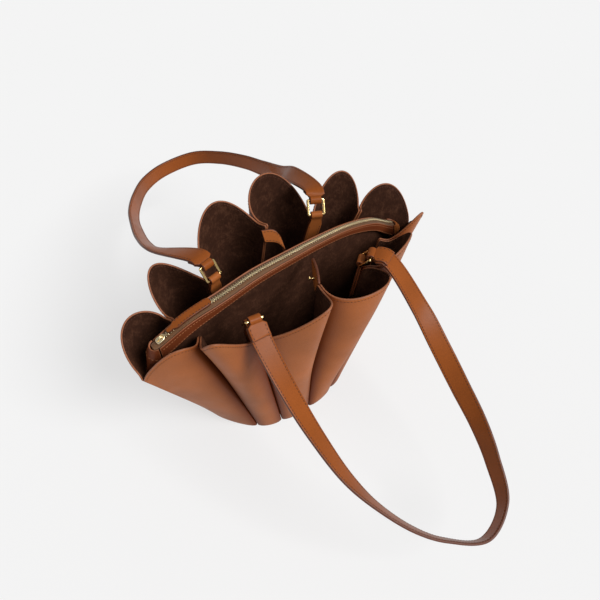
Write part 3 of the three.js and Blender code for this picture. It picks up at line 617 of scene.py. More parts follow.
def stitch_row(body, line, lift, trim=0.0, look=0):
    """Stitches along a line of (point, normal), lifted off it along its normals."""
    lengths = [0.0]
    for (before, _), (after, _) in zip(line, line[1:]):
        lengths.append(lengths[-1] + (after - before).length)

    def at(distance):
        i = min(max(bisect_right(lengths, distance) - 1, 0), len(line) - 2)
        share = (distance - lengths[i]) / max(lengths[i + 1] - lengths[i], 1e-6)
        return line[i][0].lerp(line[i + 1][0], share), line[i][1].lerp(line[i + 1][1], share).normalized()

    usable = lengths[-1] - 2 * trim
    count = max(int(usable / STITCH_PITCH), 1)
    pitch = usable / count
    for i in range(count):
        centre = trim + (i + 0.5) * pitch
        place, normal = at(centre)
        ahead = (at(centre + pitch / 2)[0] - at(centre - pitch / 2)[0]).normalized()
        stitch(body, place + normal * lift, ahead, normal, look)


def band_grid(stations, columns):
    """A band's grid of points from its stations, each a place, a way across and a width."""
    shares = [2 * c / (columns - 1) - 1 for c in range(columns)]
    return [[place + across * (share * width / 2) for share in shares] for place, across, width in stations]


def band_line(stations, hand, inset, upper):
    """A line of (point, normal) along a band, inset from one edge."""
    line = []
    for i, (place, across, width) in enumerate(stations):
        ahead = stations[min(i + 1, len(stations) - 1)][0] - stations[max(i - 1, 0)][0]
        point = place + across * (hand * (width / 2 - inset))
        line.append((point, across.cross(ahead).normalized() * upper))
    return line


# The fluted body

SeamPlace = namedtuple("SeamPlace", "root inward depth lift spreads")
SEAMS = {-1: FRONT_SEAMS, 1: BACK_SEAMS}
PANELS = {-1: FRONT_PANELS, 1: BACK_PANELS}
SIDE_NAMES = {-1: "front", 1: "back"}
LAST_SEAM = len(FRONT_SEAMS) - 1


def plan_direction(angle):
    return Vector((math.cos(angle), math.sin(angle), 0))


def seam_at(seam, side, share):
    foot = Vector((seam.foot * BASE_HALF_WIDTH, side * BASE_HALF_DEPTH * math.sqrt(1 - seam.foot ** 2), 0))
    top = Vector((seam.x * RIM_HALF_WIDTH, seam.y * RIM_HALF_DEPTH, seam.z * RIM_HEIGHT))
    foot_turn = math.atan2(-foot.y / BASE_HALF_DEPTH ** 2, -foot.x / BASE_HALF_WIDTH ** 2)
    turn = foot_turn + math.remainder(math.radians(seam.turn) - foot_turn, math.tau) * share
    opens = (seam.open if seam.open_left is None else seam.open_left, seam.open)
    spreads = [lerp(BASE_SPREAD, math.radians(open_angle), share) for open_angle in opens]
    depth = lerp(BASE_FIN_DEPTH, FIN_DEPTH * seam.fin, share)
    lift = seam.lift * FIN_LIFT * share
    return SeamPlace(foot.lerp(top, share), plan_direction(turn), depth, lift, spreads)


def leave_direction(seam, hand, is_right=False):
    return Matrix.Rotation(hand * seam.spreads[is_right], 3, "Z") @ -seam.inward


def side_seam_setback(index, share):
    hand = 1 if index == 0 else -1
    front = leave_direction(seam_at(FRONT_SEAMS[index], -1, share), hand)
    back = leave_direction(seam_at(BACK_SEAMS[index], 1, share), -hand)
    return (LEATHER + SEAM_GAP) / 2 / math.tan(max(front.angle(back), 0.6) / 2) + SEAM_GAP / 2


FIN_SHARES = [1, 0.86, 0.74, 0.6, 0.46, 0.32, 0.16]
PANEL_STEPS = 60
PANEL_ROWS = 32


def corner_drop(distance, radius):
    """How far a rounded corner lies below the edge, at a distance from the sheet's end."""
    if distance >= radius:
        return 0.0
    return radius - math.sqrt(radius ** 2 - (radius - distance) ** 2)


def bezier(a, b, c, d, t):
    s = 1 - t
    return a * s ** 3 + b * (3 * s * s * t) + c * (3 * s * t * t) + d * t ** 3


def panel_line(side, index, share):
    """A panel's middle line at a height share, from the end of its left fin to the end of its right one."""
    panel = PANELS[side][index]
    ends = []
    for k, swell in enumerate((panel.left, panel.right)):
        place = seam_at(SEAMS[side][index + k], side, share)
        hand = side if k else -side
        plain = index + k in (0, LAST_SEAM)
        leave = leave_direction(place, hand, k == 0)
        if plain:
            start = place.root + leave * side_seam_setback(index + k, share)
        else:
            beside = Vector((-place.inward.y, place.inward.x, 0)) * -hand
            start = place.root + beside * ((LEATHER + SEAM_GAP) / 2)
        handle = start + leave * lerp(BASE_SWELL, SWELL * swell, share)
        ends.append((place, plain, start, handle))
    (left, left_plain, start, handle), (right, right_plain, end, end_handle) = ends
    line = []
    for i in range(PANEL_STEPS + 1):
        t = i / PANEL_STEPS
        point = bezier(start, handle, end_handle, end, t)
        arch = panel.scallop * SCALLOP * max(math.sin(math.pi * t), 0) ** SCALLOP_POWER
        point.z = lerp(left.root.z, right.root.z, t) + share * arch
        line.append(point)
    for plain, corner in ((left_plain, line[0].copy()), (right_plain, line[-1].copy())):
        if plain:
            for point in line:
                point.z -= share * corner_drop((point.xy - corner.xy).length, SIDE_CORNER)

    def fin(place, root):
        points = []
        for part in FIN_SHARES:
            point = root + place.inward * (place.depth * part)
            point.z += place.lift * part ** 1.5 - share * corner_drop(place.depth * (1 - part), FIN_CORNER)
            points.append(point)
        return points

    joints = []
    if not left_plain:
        line = fin(left, start) + line
        joints.append(len(FIN_SHARES))
    if not right_plain:
        joints.append(len(line) - 1)
        line = line + fin(right, end)[::-1]
    for _ in range(2):
        for joint in joints:
            for i in range(joint - 2, joint + 3):
                line[i] = (line[i - 1] + line[i] * 2 + line[i + 1]) / 4
    return line


def paint_fold_shade(piece, side, index):
    """Painted shade in the creases: each point keeps how near it lies to a panel's two folds, and the leather
    is painted darker there.
    """
    values = []
    for vertex in piece.data.vertices:
        point = vertex.co / MM
        value = 0
        for seam in SEAMS[side][max(index, 1):min(index + 2, LAST_SEAM)]:
            share = min(max(point.z / (seam.z * RIM_HEIGHT), 0), 1)
            distance = (point - seam_at(seam, side, share).root).xy.length
            value = max(value, math.exp(-(distance / lerp(*FOLD_SHADE, share)) ** 2))
        values.append(value)
    piece.data.attributes.new("fold", "FLOAT", "POINT").data.foreach_set("value", values)


def make_panels():
    threads = Body()
    for side in (-1, 1):
        for index in range(len(FRONT_PANELS)):
            grid = [panel_line(side, index, row / PANEL_ROWS) for row in range(PANEL_ROWS + 1)]
            if side > 0:
                grid = [row[::-1] for row in grid]
            body = Body()
            normals = sheet(body, grid, LEATHER, (0, 1, 2))
            name = f"petal_{SIDE_NAMES[side]}_{index + 1}"
            piece = body.piece(f"{name}_leather", (TAN, SUEDE, EDGE), "tan_leather", name)
            # Painted shade beside the panel's inner folds
            paint_fold_shade(piece, side, index)
            for skin in (1, -1):
                line = [(edge + (under - edge).normalized() * STITCH_INSET, normal * skin)
                        for edge, under, normal in zip(grid[-1], grid[-2], normals[-1])]
                stitch_row(threads, line, LEATHER / 2, 3)
    threads.piece("petal_stitches", (THREAD,), "tan_leather")


make_panels()


# The middle pouch


POUCH_LENGTH = 2 * POUCH_HALF_LENGTH
PouchPlace = namedtuple("PouchPlace", "x top half edge_drop hang flare")
BODY_HALF_LENGTH = POUCH_HALF_LENGTH - NOSE_ROUND


def pouch_line(share):
    """The pouch at a share of its length, from its left end to its right one."""
    half = HEADER_HALF_WIDTH * smooth_value(POUCH_HALVES, share)
    facing = smooth_value(POUCH_FACINGS, share)
    x = lerp(-POUCH_HALF_LENGTH, POUCH_HALF_LENGTH, share)
    top = POUCH_HEIGHT * smooth_value(POUCH_HEIGHTS, share)
    edge_drop = HEADER_DROP * half / HEADER_HALF_WIDTH
    return PouchPlace(x, top, half, edge_drop, FACING_DEPTH * facing, FACING_FLARE * (facing - 1))


def body_line(share):
    """The same, where the walls and facings end at the rounded noses."""
    return pouch_line(0.5 + (share - 0.5) * BODY_HALF_LENGTH / POUCH_HALF_LENGTH)


def smooth_step(value, low, high):
    share = min(max((value - low) / (high - low), 0), 1)
    return share * share * (3 - 2 * share)


def wall_half_depth(half, drop):
    wide = half - FACING_THICKNESS / 2 - POUCH_WALL / 2
    narrow = POUCH_HALF_GAP + POUCH_WALL / 2
    return lerp(wide, narrow, smooth_step(drop, HEADER_DROP, SHOULDER_DEPTH))


def seam_reach(height):
    left = FRONT_SEAMS[0]
    return lerp(BASE_HALF_WIDTH, -left.x * RIM_HALF_WIDTH, min(height / (left.z * RIM_HEIGHT), 1))


def wall_reach(height):
    return min(BODY_HALF_LENGTH, seam_reach(height) - POUCH_SIDE_CLEARANCE)


POUCH_STEPS = 90
WALL_ROWS = 20
FACING_ROWS = 8
NOSE_TURNS = 28
NOSE_ROWS = 26


def make_pouch_walls():
    for side in (-1, 1):
        grid = []
        for row in range(WALL_ROWS + 1):
            line = []
            for i in range(POUCH_STEPS + 1):
                at = body_line(i / POUCH_STEPS)
                start = at.top - at.edge_drop - TAPE_THICKNESS - 2 * SEAT_GAP
                height = lerp(start, POUCH_BOTTOM, (row / WALL_ROWS) ** 1.6)
                depth = wall_half_depth(at.half, at.top - height)
                if row == WALL_ROWS:
                    depth = POUCH_WALL / 2 + SEAT_GAP
                across = at.x * wall_reach(height) / BODY_HALF_LENGTH
                line.append(Vector((across, POUCH_CENTRE + side * depth, height)))
            grid.append(line)
        body = Body()
        sheet(body, grid, POUCH_WALL, (0, 0, 1), 0.5)
        name = f"pouch_wall_{SIDE_NAMES[side]}"
        body.piece(f"{name}_suede", (SUEDE, PAINTED), "suede", name)


def make_facings():
    threads = Body()
    for side in (-1, 1):
        grid = []
        for row in range(FACING_ROWS + 1):
            down = row / FACING_ROWS
            line = []
            for i in range(POUCH_STEPS + 1):
                at = body_line(i / POUCH_STEPS)
                bow = FACING_BOW * math.sin(math.pi * down) + at.flare * down
                depth = at.half + SEAT_GAP + FACING_THICKNESS / 2 + bow
                height = at.top - at.edge_drop + FACING_STAND - down * at.hang
                line.append(Vector((at.x, POUCH_CENTRE + side * depth, height)))
            grid.append(line)
        body = Body()
        normals = sheet(body, grid, FACING_THICKNESS, (0, 0, 1), 0.5)
        name = f"pouch_facing_{SIDE_NAMES[side]}"
        # Painted shade: the facings take the darker facing leather
        body.piece(f"{name}_leather", (SHADED_FACING_TAN, EDGE), "tan_leather", name)
        for row in (2, FACING_ROWS - 1):
            line = [(point, normal if normal.y * side > 0 else -normal)
                    for point, normal in zip(grid[row], normals[row])]
            stitch_row(threads, line, FACING_THICKNESS / 2, 2)
    threads.piece("pouch_stitches", (PALE_THREAD,), "tan_leather")


def make_noses():
    """Rounded caps of leather round the ends of the tape, down to the foot of the walls."""
    threads = Body()
    for hand, name in ((-1, "pouch_nose_left"), (1, "pouch_nose_right")):
        at = body_line(0 if hand < 0 else 1)
        tape_end = pouch_line(0 if hand < 0 else 1).top
        reach = NOSE_LENGTH_LEFT if hand < 0 else NOSE_LENGTH_RIGHT
        grid = []
        for row in range(NOSE_ROWS + 1):
            drop = lerp(at.edge_drop - FACING_STAND, at.top - POUCH_BOTTOM, (row / NOSE_ROWS) ** 2.2)
            flared = at.half + SEAT_GAP + FACING_THICKNESS / 2 + at.flare * min(drop / at.hang, 1)
            merged = smooth_step(drop, at.hang, at.hang + NOSE_MERGE)
            depth = lerp(flared, wall_half_depth(at.half, drop), merged)
            foot = wall_reach(at.top - drop) + JOINT_GAP * 1.5
            bulge = reach * (drop / NOSE_DROP) ** 0.7
            tip = min(POUCH_HALF_LENGTH + bulge, seam_reach(at.top - drop) - NOSE_CLEARANCE)
            line = []
            for i in range(NOSE_TURNS + 1):
                angle = math.pi * (i / NOSE_TURNS - 0.5)
                out = math.cos(angle)
                fall = (at.top - tape_end) * out * max(1 - drop / NOSE_DROP, 0)
                x, y = hand * lerp(foot, tip, out), POUCH_CENTRE + depth * math.sin(angle)
                line.append(Vector((x, y, at.top - drop - fall)))
            grid.append(line)
        body = Body()
        normals = sheet(body, grid, FACING_THICKNESS, (0, 0, 1), 0.4)
        # Painted shade: the left nose takes the darker facing leather, the right one the plain tan
        body.piece(f"{name}_leather", (SHADED_FACING_TAN if hand < 0 else TAN, EDGE), "tan_leather", name)
        for row in (9, 15):
            line = [(point, normal if point.x * normal.x > 0 else -normal)
                    for point, normal in zip(grid[row], normals[row])]
            stitch_row(threads, line[2:-2], FACING_THICKNESS / 2, 1)
    threads.piece("nose_stitches", (PALE_THREAD,), "tan_leather")


def make_tape():
    """The tape arches between the facings and rounds off inside the noses."""
    steps = 2 * POUCH_STEPS
    margin = TAPE_END / POUCH_LENGTH
    grid = []
    for i in range(steps + 1):
        at = pouch_line(lerp(margin, 1 - margin, i / steps))
        end = max(1 - (POUCH_HALF_LENGTH - abs(at.x)) / NOSE_ROUND, 0)
        half = at.half * math.sqrt(1 - end ** 2)
        line = []
        for c in range(TAPE_COLUMNS):
            share = 1 - 2 * c / (TAPE_COLUMNS - 1)
            drop = at.edge_drop * share ** 2 + TAPE_THICKNESS / 2
            line.append(Vector((at.x, POUCH_CENTRE + share * half, at.top - drop)))
        grid.append(line)
    body = Body()
    sheet(body, grid, TAPE_THICKNESS, (0, 0, 0), 0.3)
    body.piece("zip_tape_weave", (TAPE,), "zip_tape", "zip_tape")


def block(body, place, along, across, above, sizes, chamfer):
    """A small block with cut corners and a bevelled top, from its half length, half width and height."""
    length, width, height = sizes
    outline = [(length, width - chamfer), (length - chamfer, width), (chamfer - length, width),
               (-length, width - chamfer), (-length, chamfer - width), (chamfer - length, -width),
               (length - chamfer, -width), (length, chamfer - width)]
    layers = []
    for rise, shrink in ((0, 1), (height - chamfer, 1), (height, 1 - chamfer / min(length, width))):
        layers.append(body.put([place + along * (x * shrink) + across * (y * shrink) + above * rise
                                for x, y in outline]))
    body.loft(layers, len(outline))
    body.caps(layers[0], layers[-1], len(outline))


SLIDER_END = SLIDER_PLACE + SLIDER_LENGTH / 2 / POUCH_LENGTH


def zip_frame(share):
    """A place on the zip line and the ways along and above it."""
    at = pouch_line(share)
    before, after = pouch_line(max(share - 0.005, 0)), pouch_line(min(share + 0.005, 1))
    along = Vector((after.x - before.x, 0, after.top - before.top)).normalized()
    return Vector((at.x, POUCH_CENTRE, at.top)), along, Vector((-along.z, 0, along.x))


def make_teeth():
    body = Body()
    start = SLIDER_END + SEAT_GAP / POUCH_LENGTH
    count = int((ZIP_END - start) * POUCH_LENGTH / TOOTH_PITCH * 2)
    sizes = (TOOTH_PITCH * 0.16, TEETH_WIDTH * 0.36, TEETH_THICKNESS)
    for i in range(count):
        place, along, above = zip_frame(lerp(start, ZIP_END, (i + 0.5) / count))
        hand = 1 if i % 2 else -1
        centre = place + BACKWARD * (hand * TEETH_WIDTH * 0.14) + above * (2 * SEAT_GAP)
        block(body, centre, along, BACKWARD, above, sizes, TOOTH_CHAMFER)
    body.piece("zip_teeth_metal", (TEETH_GOLD,), "gold_metal", "zip_teeth")


def tube(body, path, radius, normal, sides=8):
    """A closed tube along an open path, its ends rounded off."""
    rings = []
    last = len(path) - 1
    for i, point in enumerate(path):
        ahead = (path[min(i + 1, last)] - path[max(i - 1, 0)]).normalized()
        beside = ahead.cross(normal).normalized()
        over = beside.cross(ahead)
        size = radius * (0.6 if i in (0, last) else 1)
        rings.append(body.put(circle(point, beside * size, over * size, sides)))
    body.loft(rings, sides)
    body.caps(rings[0], rings[-1], sides)


def make_slider():
    """A shield-shaped body with two plates, a bridge over it and the link that carries the pull."""
    body = Body()
    place, along, above = zip_frame(SLIDER_END - SLIDER_LENGTH / 2 / POUCH_LENGTH)
    half = SLIDER_LENGTH / 2
    outline = []
    for k in range(28):
        angle = math.tau * k / 28
        x = half * math.copysign(abs(math.cos(angle)) ** 0.6, math.cos(angle))
        narrow = lerp(1, 0.72, (x / half + 1) / 2)
        y = SLIDER_WIDTH / 2 * narrow * math.copysign(abs(math.sin(angle)) ** 0.7, math.sin(angle))
        outline.append((x, y))
    layers = []
    for rise, shrink in ((0.6, 0.86), (0.8, 1), (2, 1), (2.5, 0.94), (2.8, 0.8)):
        layers.append(body.put([place + along * (x * shrink) + BACKWARD * (y * shrink) + above * rise
                                for x, y in outline]))
    body.loft(layers, len(outline))
    body.caps(layers[0], layers[-1], len(outline))
    bridge = []
    for k in range(13):
        angle = math.pi * k / 12
        bridge.append(place + along * (half * 0.72 * math.cos(angle)) + above * (2.4 + 1.9 * math.sin(angle)))
    tube(body, bridge, 0.7, BACKWARD)
    link = []
    for k in range(17):
        angle = math.radians(200) - math.radians(400) * k / 16
        link.append(place + along * (2.2 + 2.9 * math.cos(angle)) + BACKWARD * (2.3 * math.sin(angle))
                    + above * (3.2 + 0.25 * math.cos(angle)))
    tube(body, link[1:-1], 0.45, above)
    body.piece("zip_slider_metal", (TEETH_GOLD,), "gold_metal", "zip_slider")


def make_pull():
    stations = []
    for i in range(PULL_STEPS + 1):
        run = i / PULL_STEPS
        at = pouch_line(SLIDER_END + (PULL_START + run * PULL_LENGTH) / POUCH_LENGTH)
        widen = min(max((run * PULL_LENGTH - 5) / 5, 0), 1)
        width = lerp(PULL_NECK, PULL_WIDTH, widen * widen * (3 - 2 * widen))
        tail = max(1 - (1 - run) * PULL_LENGTH / (PULL_WIDTH / 2), 0)
        head = max(1 - run * PULL_LENGTH / (PULL_NECK / 2), 0)
        width *= max(math.sqrt(1 - 0.8 * max(tail, head) ** 2), 0.4)
        stations.append((Vector((at.x, POUCH_CENTRE, at.top + PULL_RISE)), BACKWARD, width))
    body = Body()
    grid = [row[::-1] for row in band_grid(stations, STRAP_COLUMNS)]
    sheet(body, grid, PULL_THICKNESS, (0, 0, 1), 0.6)
    for hand in (-1, 1):
        line = [(point, UP) for point, _ in band_line(stations, hand, PULL_STITCH_INSET, -1)]
        stitch_row(body, line[8:-2], PULL_THICKNESS / 2 + PULL_STITCH_LIFT, 0, 2)
    # Painted shade: the pull takes the darker strap leather
    body.piece("zip_pull_leather", (SHADED_STRAP_TAN, PAINTED, THREAD), "tan_leather", "zip_pull")


make_pouch_walls()
make_facings()
make_noses()
make_tape()
make_teeth()
make_slider()
make_pull()


# Rings on their tabs, and the straps

RingFrame = namedtuple("RingFrame", "end place inward across height away straight")


def ring_frame(ring):
    seam = seam_at(SEAMS[ring.side][ring.seam], ring.side, 1)
    end = seam.root + seam.inward * seam.depth + UP * seam.lift
    place = end + seam.inward * (ANCHOR_THICKNESS + 2 * SEAT_GAP) + UP * RING_RISE
    across = Vector((seam.inward.y, -seam.inward.x, 0)) * (-ring.side * math.copysign(1, seam.root.x))

    def out_and_up(angle):
        return seam.inward * -math.cos(angle) + UP * math.sin(angle)

    return RingFrame(end, place, seam.inward, across, out_and_up(math.radians(ring.steep)),
                     out_and_up(math.radians(ring.leave)), ring.straight * FOLD_LENGTH)


def rounded_rectangle(width, height, corner, turns=5):
    points = []
    for cx, cy, start in ((1, 1, 0), (-1, 1, 90), (-1, -1, 180), (1, -1, 270)):
        for k in range(turns + 1):
            angle = math.radians(start + 90 * k / turns)
            points.append((cx * (width / 2 - corner) + corner * math.cos(angle),
                           cy * (height / 2 - corner) + corner * math.sin(angle)))
    return points


def make_ring(name, place):
    """A flat gold ring with softened edges."""
    body = Body()
    facing = place.across.cross(place.height)
    loops = []
    for out, through in rounded_rectangle(RING_BAR, RING_THICKNESS, 0.6, 3):
        share = out / RING_BAR + 0.5
        outline = rounded_rectangle(RING_WIDTH - RING_BAR + 2 * out, RING_HEIGHT - RING_BAR + 2 * out,
                                    lerp(RING_CORNER / 4, RING_CORNER, share))
        rise = (RING_HEIGHT - RING_BAR) / 2
        loops.append(body.put([place.place + place.across * x + place.height * (y + rise) + facing * through
                               for x, y in outline]))
    body.loft(loops + loops[:1], len(outline))
    body.piece(f"ring_{name}_metal", (GOLD,), "gold_metal", f"ring_{name}")


def turn_round(thickness, start, end, turns):
    reach = math.hypot(RING_BAR, RING_THICKNESS) / 2 + SEAT_GAP + thickness / 2
    angles = [math.radians(lerp(start, end, i / turns)) for i in range(turns + 1)]
    return [(reach * math.cos(angle), reach * math.sin(angle)) for angle in angles]


def make_ring_tab(ring, place):
    """A strip folded over the ring's lower bar, both its layers sewn down the fin's end."""
    layer = (ANCHOR_THICKNESS + SEAT_GAP) / 2

    def along(shift, drop, width):
        seam = seam_at(SEAMS[ring.side][ring.seam], ring.side, 1 - drop / place.end.z)
        reach = seam.depth + ANCHOR_THICKNESS + 2 * SEAT_GAP + shift
        return seam.root + seam.inward * reach + UP * seam.lift, place.across, width

    drops = [ANCHOR_LENGTH * k / 12 for k in range(12, 0, -1)]
    widths = [ANCHOR_WIDTH * (0.8 if k == 12 else 0.94 if k == 11 else 1) for k in range(12, 0, -1)]
    back = [along(-layer, drop, width) for drop, width in zip(drops, widths)]
    front = [along(layer, drop, width) for drop, width in zip(drops, widths)]
    low, high = -RING_RISE * 0.75, -RING_RISE * 0.45
    turns = [(-layer, low), (-layer, high), *turn_round(ANCHOR_THICKNESS, 215, -35, 14),
             (layer, high), (layer, low)]
    loop = [(place.place + place.inward * across + UP * above, place.across, TONGUE_WIDTH)
            for across, above in turns]
    shown = front[::-1]
    body = Body()
    sheet(body, band_grid(back + loop + shown, STRAP_COLUMNS), ANCHOR_THICKNESS, (0, 0, 1), 0.5)
    for hand in (-1, 1):
        line = [(point, place.inward) for point, _ in band_line(shown, hand, RING_TAB_STITCH_INSET, 1)]
        stitch_row(body, line, ANCHOR_THICKNESS / 2, 1.5, 2)
    name = f"ring_tab_{ring.name}"
    body.piece(f"{name}_leather", (TAN, PAINTED, THREAD), "tan_leather", name)


def strap_neck(place, fold):
    bar = place.place + place.height * (RING_HEIGHT - RING_BAR)
    above = place.across.cross(place.away)
    if above.z < 0:
        above.negate()
    layer = (STRAP_THICKNESS + SEAT_GAP) / 2

    def at(along, up):
        return bar + place.away * along + above * (up * fold)

    turns = [(NECK_LENGTH, layer), (NECK_LENGTH * 0.6, layer), *turn_round(STRAP_THICKNESS, 35, 325, 20),
             (NECK_LENGTH * 0.6, -layer), (NECK_LENGTH, -layer)]
    stations = [(at(along, up), place.across, TONGUE_WIDTH) for along, up in turns]
    return stations, [at(NECK_LENGTH, -layer), at(place.straight, -layer)]


def curve_parts(points):
    """The cubic pieces of a centripetal curve through points."""
    ends = [points[0] * 2 - points[1], *points, points[-1] * 2 - points[-2]]
    parts = []
    for p0, p1, p2, p3 in zip(ends, ends[1:], ends[2:], ends[3:]):
        d0, d1, d2 = (max((b - a).length ** 0.5, 1e-4) for a, b in ((p0, p1), (p1, p2), (p2, p3)))
        t1 = ((p1 - p0) / d0 - (p2 - p0) / (d0 + d1) + (p2 - p1) / d1) * d1
        t2 = ((p2 - p1) / d1 - (p3 - p1) / (d1 + d2) + (p3 - p2) / d2) * d1
        parts.append((p1, t1, p1 * -3 + p2 * 3 - t1 * 2 - t2, p1 * 2 - p2 * 2 + t1 + t2))
    return parts


def make_strap(name, table, side, fold, left_place, right_place):
    """A strap of doubled leather with painted edges, each end folded back over its ring."""
    places = []
    for x, out, up, _ in table:
        y = side * (RIM_HALF_DEPTH + out * STRAP_REACH)
        places.append(Vector((x * STRAP_SPREAD, y, lerp(LOOP_HEIGHT, RIM_HEIGHT, up))))
    left_stations, left_ways = strap_neck(left_place, fold)
    right_stations, right_ways = strap_neck(right_place, fold)
    parts = curve_parts([*left_ways, *places, *right_ways[::-1]])
    twists = [0, 0, *(row.twist for row in table), 0, 0]

    def point_at(share):
        i = min(int(share * len(parts)), len(parts) - 1)
        t = share * len(parts) - i
        c0, c1, c2, c3 = parts[i]
        return c0 + c1 * t + c2 * t * t + c3 * t ** 3

    lengths = [0.0]
    for i in range(STRAP_SAMPLES):
        step = point_at((i + 1) / STRAP_SAMPLES) - point_at(i / STRAP_SAMPLES)
        lengths.append(lengths[-1] + step.length)
    length = lengths[-1]

    def station(distance, lift, width):
        i = min(bisect_right(lengths, distance) - 1, STRAP_SAMPLES - 1)
        share = (i + (distance - lengths[i]) / (lengths[i + 1] - lengths[i])) / STRAP_SAMPLES
        ahead = (point_at(min(share + 0.0005, 1)) - point_at(max(share - 0.0005, 0))).normalized()
        level = ahead.cross(UP).normalized()
        raised = level.cross(ahead)
        twist = math.radians(smooth_value(twists, share))
        across = level * (-side * math.cos(twist)) + raised * math.sin(twist)
        above = across.cross(ahead) * -side
        return point_at(share) + above * lift, across, width

    def shoulder(distance, width):
        return lerp(TONGUE_WIDTH, width, min(distance / 2.6, 1))

    lift = fold * (STRAP_THICKNESS + SEAT_GAP)
    folds = [1.3, 2.6, 4.2, 6, 8, 10, 11.6, FOLD_LENGTH - NECK_LENGTH]
    fold_left = [station(d, lift, shoulder(d, FOLD_WIDTH)) for d in folds[::-1]]
    fold_right = [station(length - d, lift, shoulder(d, FOLD_WIDTH)) for d in folds]
    steps = int((length - 6) / 2.6)
    distances = [1.3, *(lerp(2.6, length - 2.6, i / steps) for i in range(steps + 1)), length - 1.3]
    middle = [station(d, 0, shoulder(min(d, length - d), STRAP_WIDTH)) for d in distances]
    stations = fold_left + left_stations + middle + right_stations[::-1] + fold_right
    body = Body()
    sheet(body, band_grid(stations, STRAP_COLUMNS), STRAP_THICKNESS, (0, 0, 1), 0.55)
    for hand in (-1, 1):
        for skin in (-1, 1):
            line = band_line(middle[2:-2], hand, STRAP_STITCH_INSET, skin)
            stitch_row(body, line, STRAP_THICKNESS / 2, 4, 2)
        for layer in (fold_left[:-1], fold_right[1:]):
            line = [(point, normal * (fold if normal.z > 0 else -fold))
                    for point, normal in band_line(layer, hand, STRAP_STITCH_INSET, 1)]
            stitch_row(body, line, STRAP_THICKNESS / 2, 0.5, 2)
    # Painted shade: the strap takes the darker strap leather
    body.piece(f"{name}_leather", (SHADED_STRAP_TAN, PAINTED, THREAD), "tan_leather", name)


ring_frames = [ring_frame(ring) for ring in RINGS]
for ring, place in zip(RINGS, ring_frames):
    make_ring(ring.name, place)
    make_ring_tab(ring, place)
make_strap("strap_front", FRONT_STRAP, -1, 1, ring_frames[0], ring_frames[1])
make_strap("strap_back", BACK_STRAP, 1, -1, ring_frames[2], ring_frames[3])


# Closure tabs and the stud


def make_tab(name, stations):
    body = Body()
    sheet(body, band_grid(stations, TAB_COLUMNS), TAB_THICKNESS, (0, 0, 1), 0.6)
    for hand in (-1, 1):
        for skin in (-1, 1):
            line = band_line(stations, hand, TAB_STITCH_INSET, skin)
            stitch_row(body, line[1:-3], TAB_THICKNESS / 2, 0.5, 2)
    body.piece(f"{name}_leather", (TAN, PAINTED, THREAD), "tan_leather", name)


def front_tab_frame():
    """Where the front tab starts, its way, its upright and the way its left face looks."""
    seam = seam_at(FRONT_SEAMS[3], -1, 1)
    way = plan_direction(FRONT_TAB_TURN)
    upright = Matrix.Rotation(FRONT_TAB_LEAN, 3, way) @ UP
    start = seam.root + seam.inward * (seam.depth + 2 * SEAT_GAP) + UP * (seam.lift - TAB_HEIGHT / 2)
    return start, way, upright, upright.cross(way)


def front_tab_stations():
    start, way, upright, _ = front_tab_frame()
    stations = []
    for i in range(25):
        run = i / 24
        place = start + way * (run * FRONT_TAB_LENGTH) + UP * (run * FRONT_TAB_RISE)
        stations.append((place, upright, TAB_HEIGHT * smooth_value(FRONT_TAB_WIDTHS, run)))
    return stations


def back_tab_stations():
    seam = seam_at(BACK_SEAMS[3], 1, 1)
    across = Vector((0, 0.5, 0.85)).normalized()
    stations = []
    for i in range(37):
        along, inward, down, share = (smooth_value([row[k] for row in BACK_TAB], i / 36) for k in range(4))
        place = seam.root + seam.inward * (seam.depth + inward) + Vector((along, 0, seam.lift - down))
        stations.append((place, across, TAB_HEIGHT * share))
    return stations


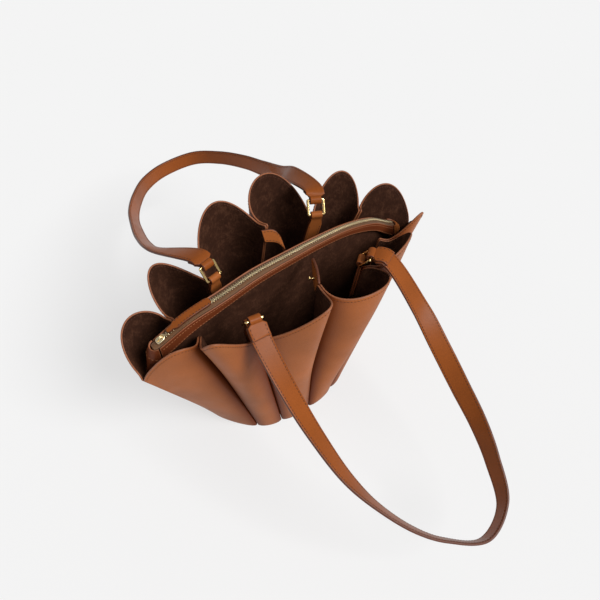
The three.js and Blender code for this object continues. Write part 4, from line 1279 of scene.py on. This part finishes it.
def make_stud():
    """A turned stud with a waisted neck and a domed head."""
    start, way, upright, out = front_tab_frame()
    place = start + way * (STUD_PLACE * FRONT_TAB_LENGTH) + UP * (STUD_PLACE * FRONT_TAB_RISE)
    place += out * (TAB_THICKNESS / 2 + 2 * SEAT_GAP)
    profile = [(STUD_NECK * 1.5, 0), (STUD_NECK * 1.5, 0.12), (STUD_NECK, 0.2), (STUD_NECK * 0.9, 0.42),
               (STUD_NECK, 0.58), (STUD_HEAD * 0.8, 0.66), (STUD_HEAD, 0.74), (STUD_HEAD, 0.84),
               (STUD_HEAD * 0.85, 0.94), (STUD_HEAD * 0.4, 1)]
    body = Body()
    rings = []
    for radius, rise in profile:
        centre = place + out * (rise * STUD_REACH)
        rings.append(body.put(circle(centre, way * radius, upright * radius, STUD_SIDES)))
    body.loft(rings[::-1], STUD_SIDES)
    body.caps(rings[-1], rings[0], STUD_SIDES)
    body.piece("closure_stud_metal", (GOLD,), "gold_metal", "closure_stud")


make_tab("closure_tab_front", front_tab_stations())
make_tab("closure_tab_back", back_tab_stations())
make_stud()

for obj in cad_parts.values():
    if not obj.hide_render:
        obj.data.materials.clear()
        obj.data.materials.append(TAN)


# Studio


def make_studio():
    mesh = bpy.data.meshes.new("floor")
    corners = [(x * FLOOR_REACH, y * FLOOR_REACH, -FLOOR_DROP)
               for x, y in ((-1, -1), (1, -1), (1, 1), (-1, 1))]
    mesh.from_pydata(corners, [], [(0, 1, 2, 3)])
    mesh.materials.append(floor_look())
    floor = bpy.data.objects.new("floor", mesh)
    bpy.context.scene.collection.objects.link(floor)
    world = bpy.data.worlds.new("studio")
    world.use_nodes = True
    sky = world.node_tree.nodes["Background"]
    sky.inputs["Color"].default_value = WHITE
    sky.inputs["Strength"].default_value = SKY_STRENGTH
    bpy.context.scene.world = world
    key = bpy.data.lights.new("key", "SUN")
    key.energy = KEY_ENERGY
    key.angle = KEY_SPREAD
    lamp = bpy.data.objects.new("key", key)
    lamp.rotation_mode = "QUATERNION"
    lamp.rotation_quaternion = KEY_DIRECTION.to_track_quat("Z", "Y")
    bpy.context.scene.collection.objects.link(lamp)


make_studio()
bpy.context.scene.view_settings.view_transform = "Standard"
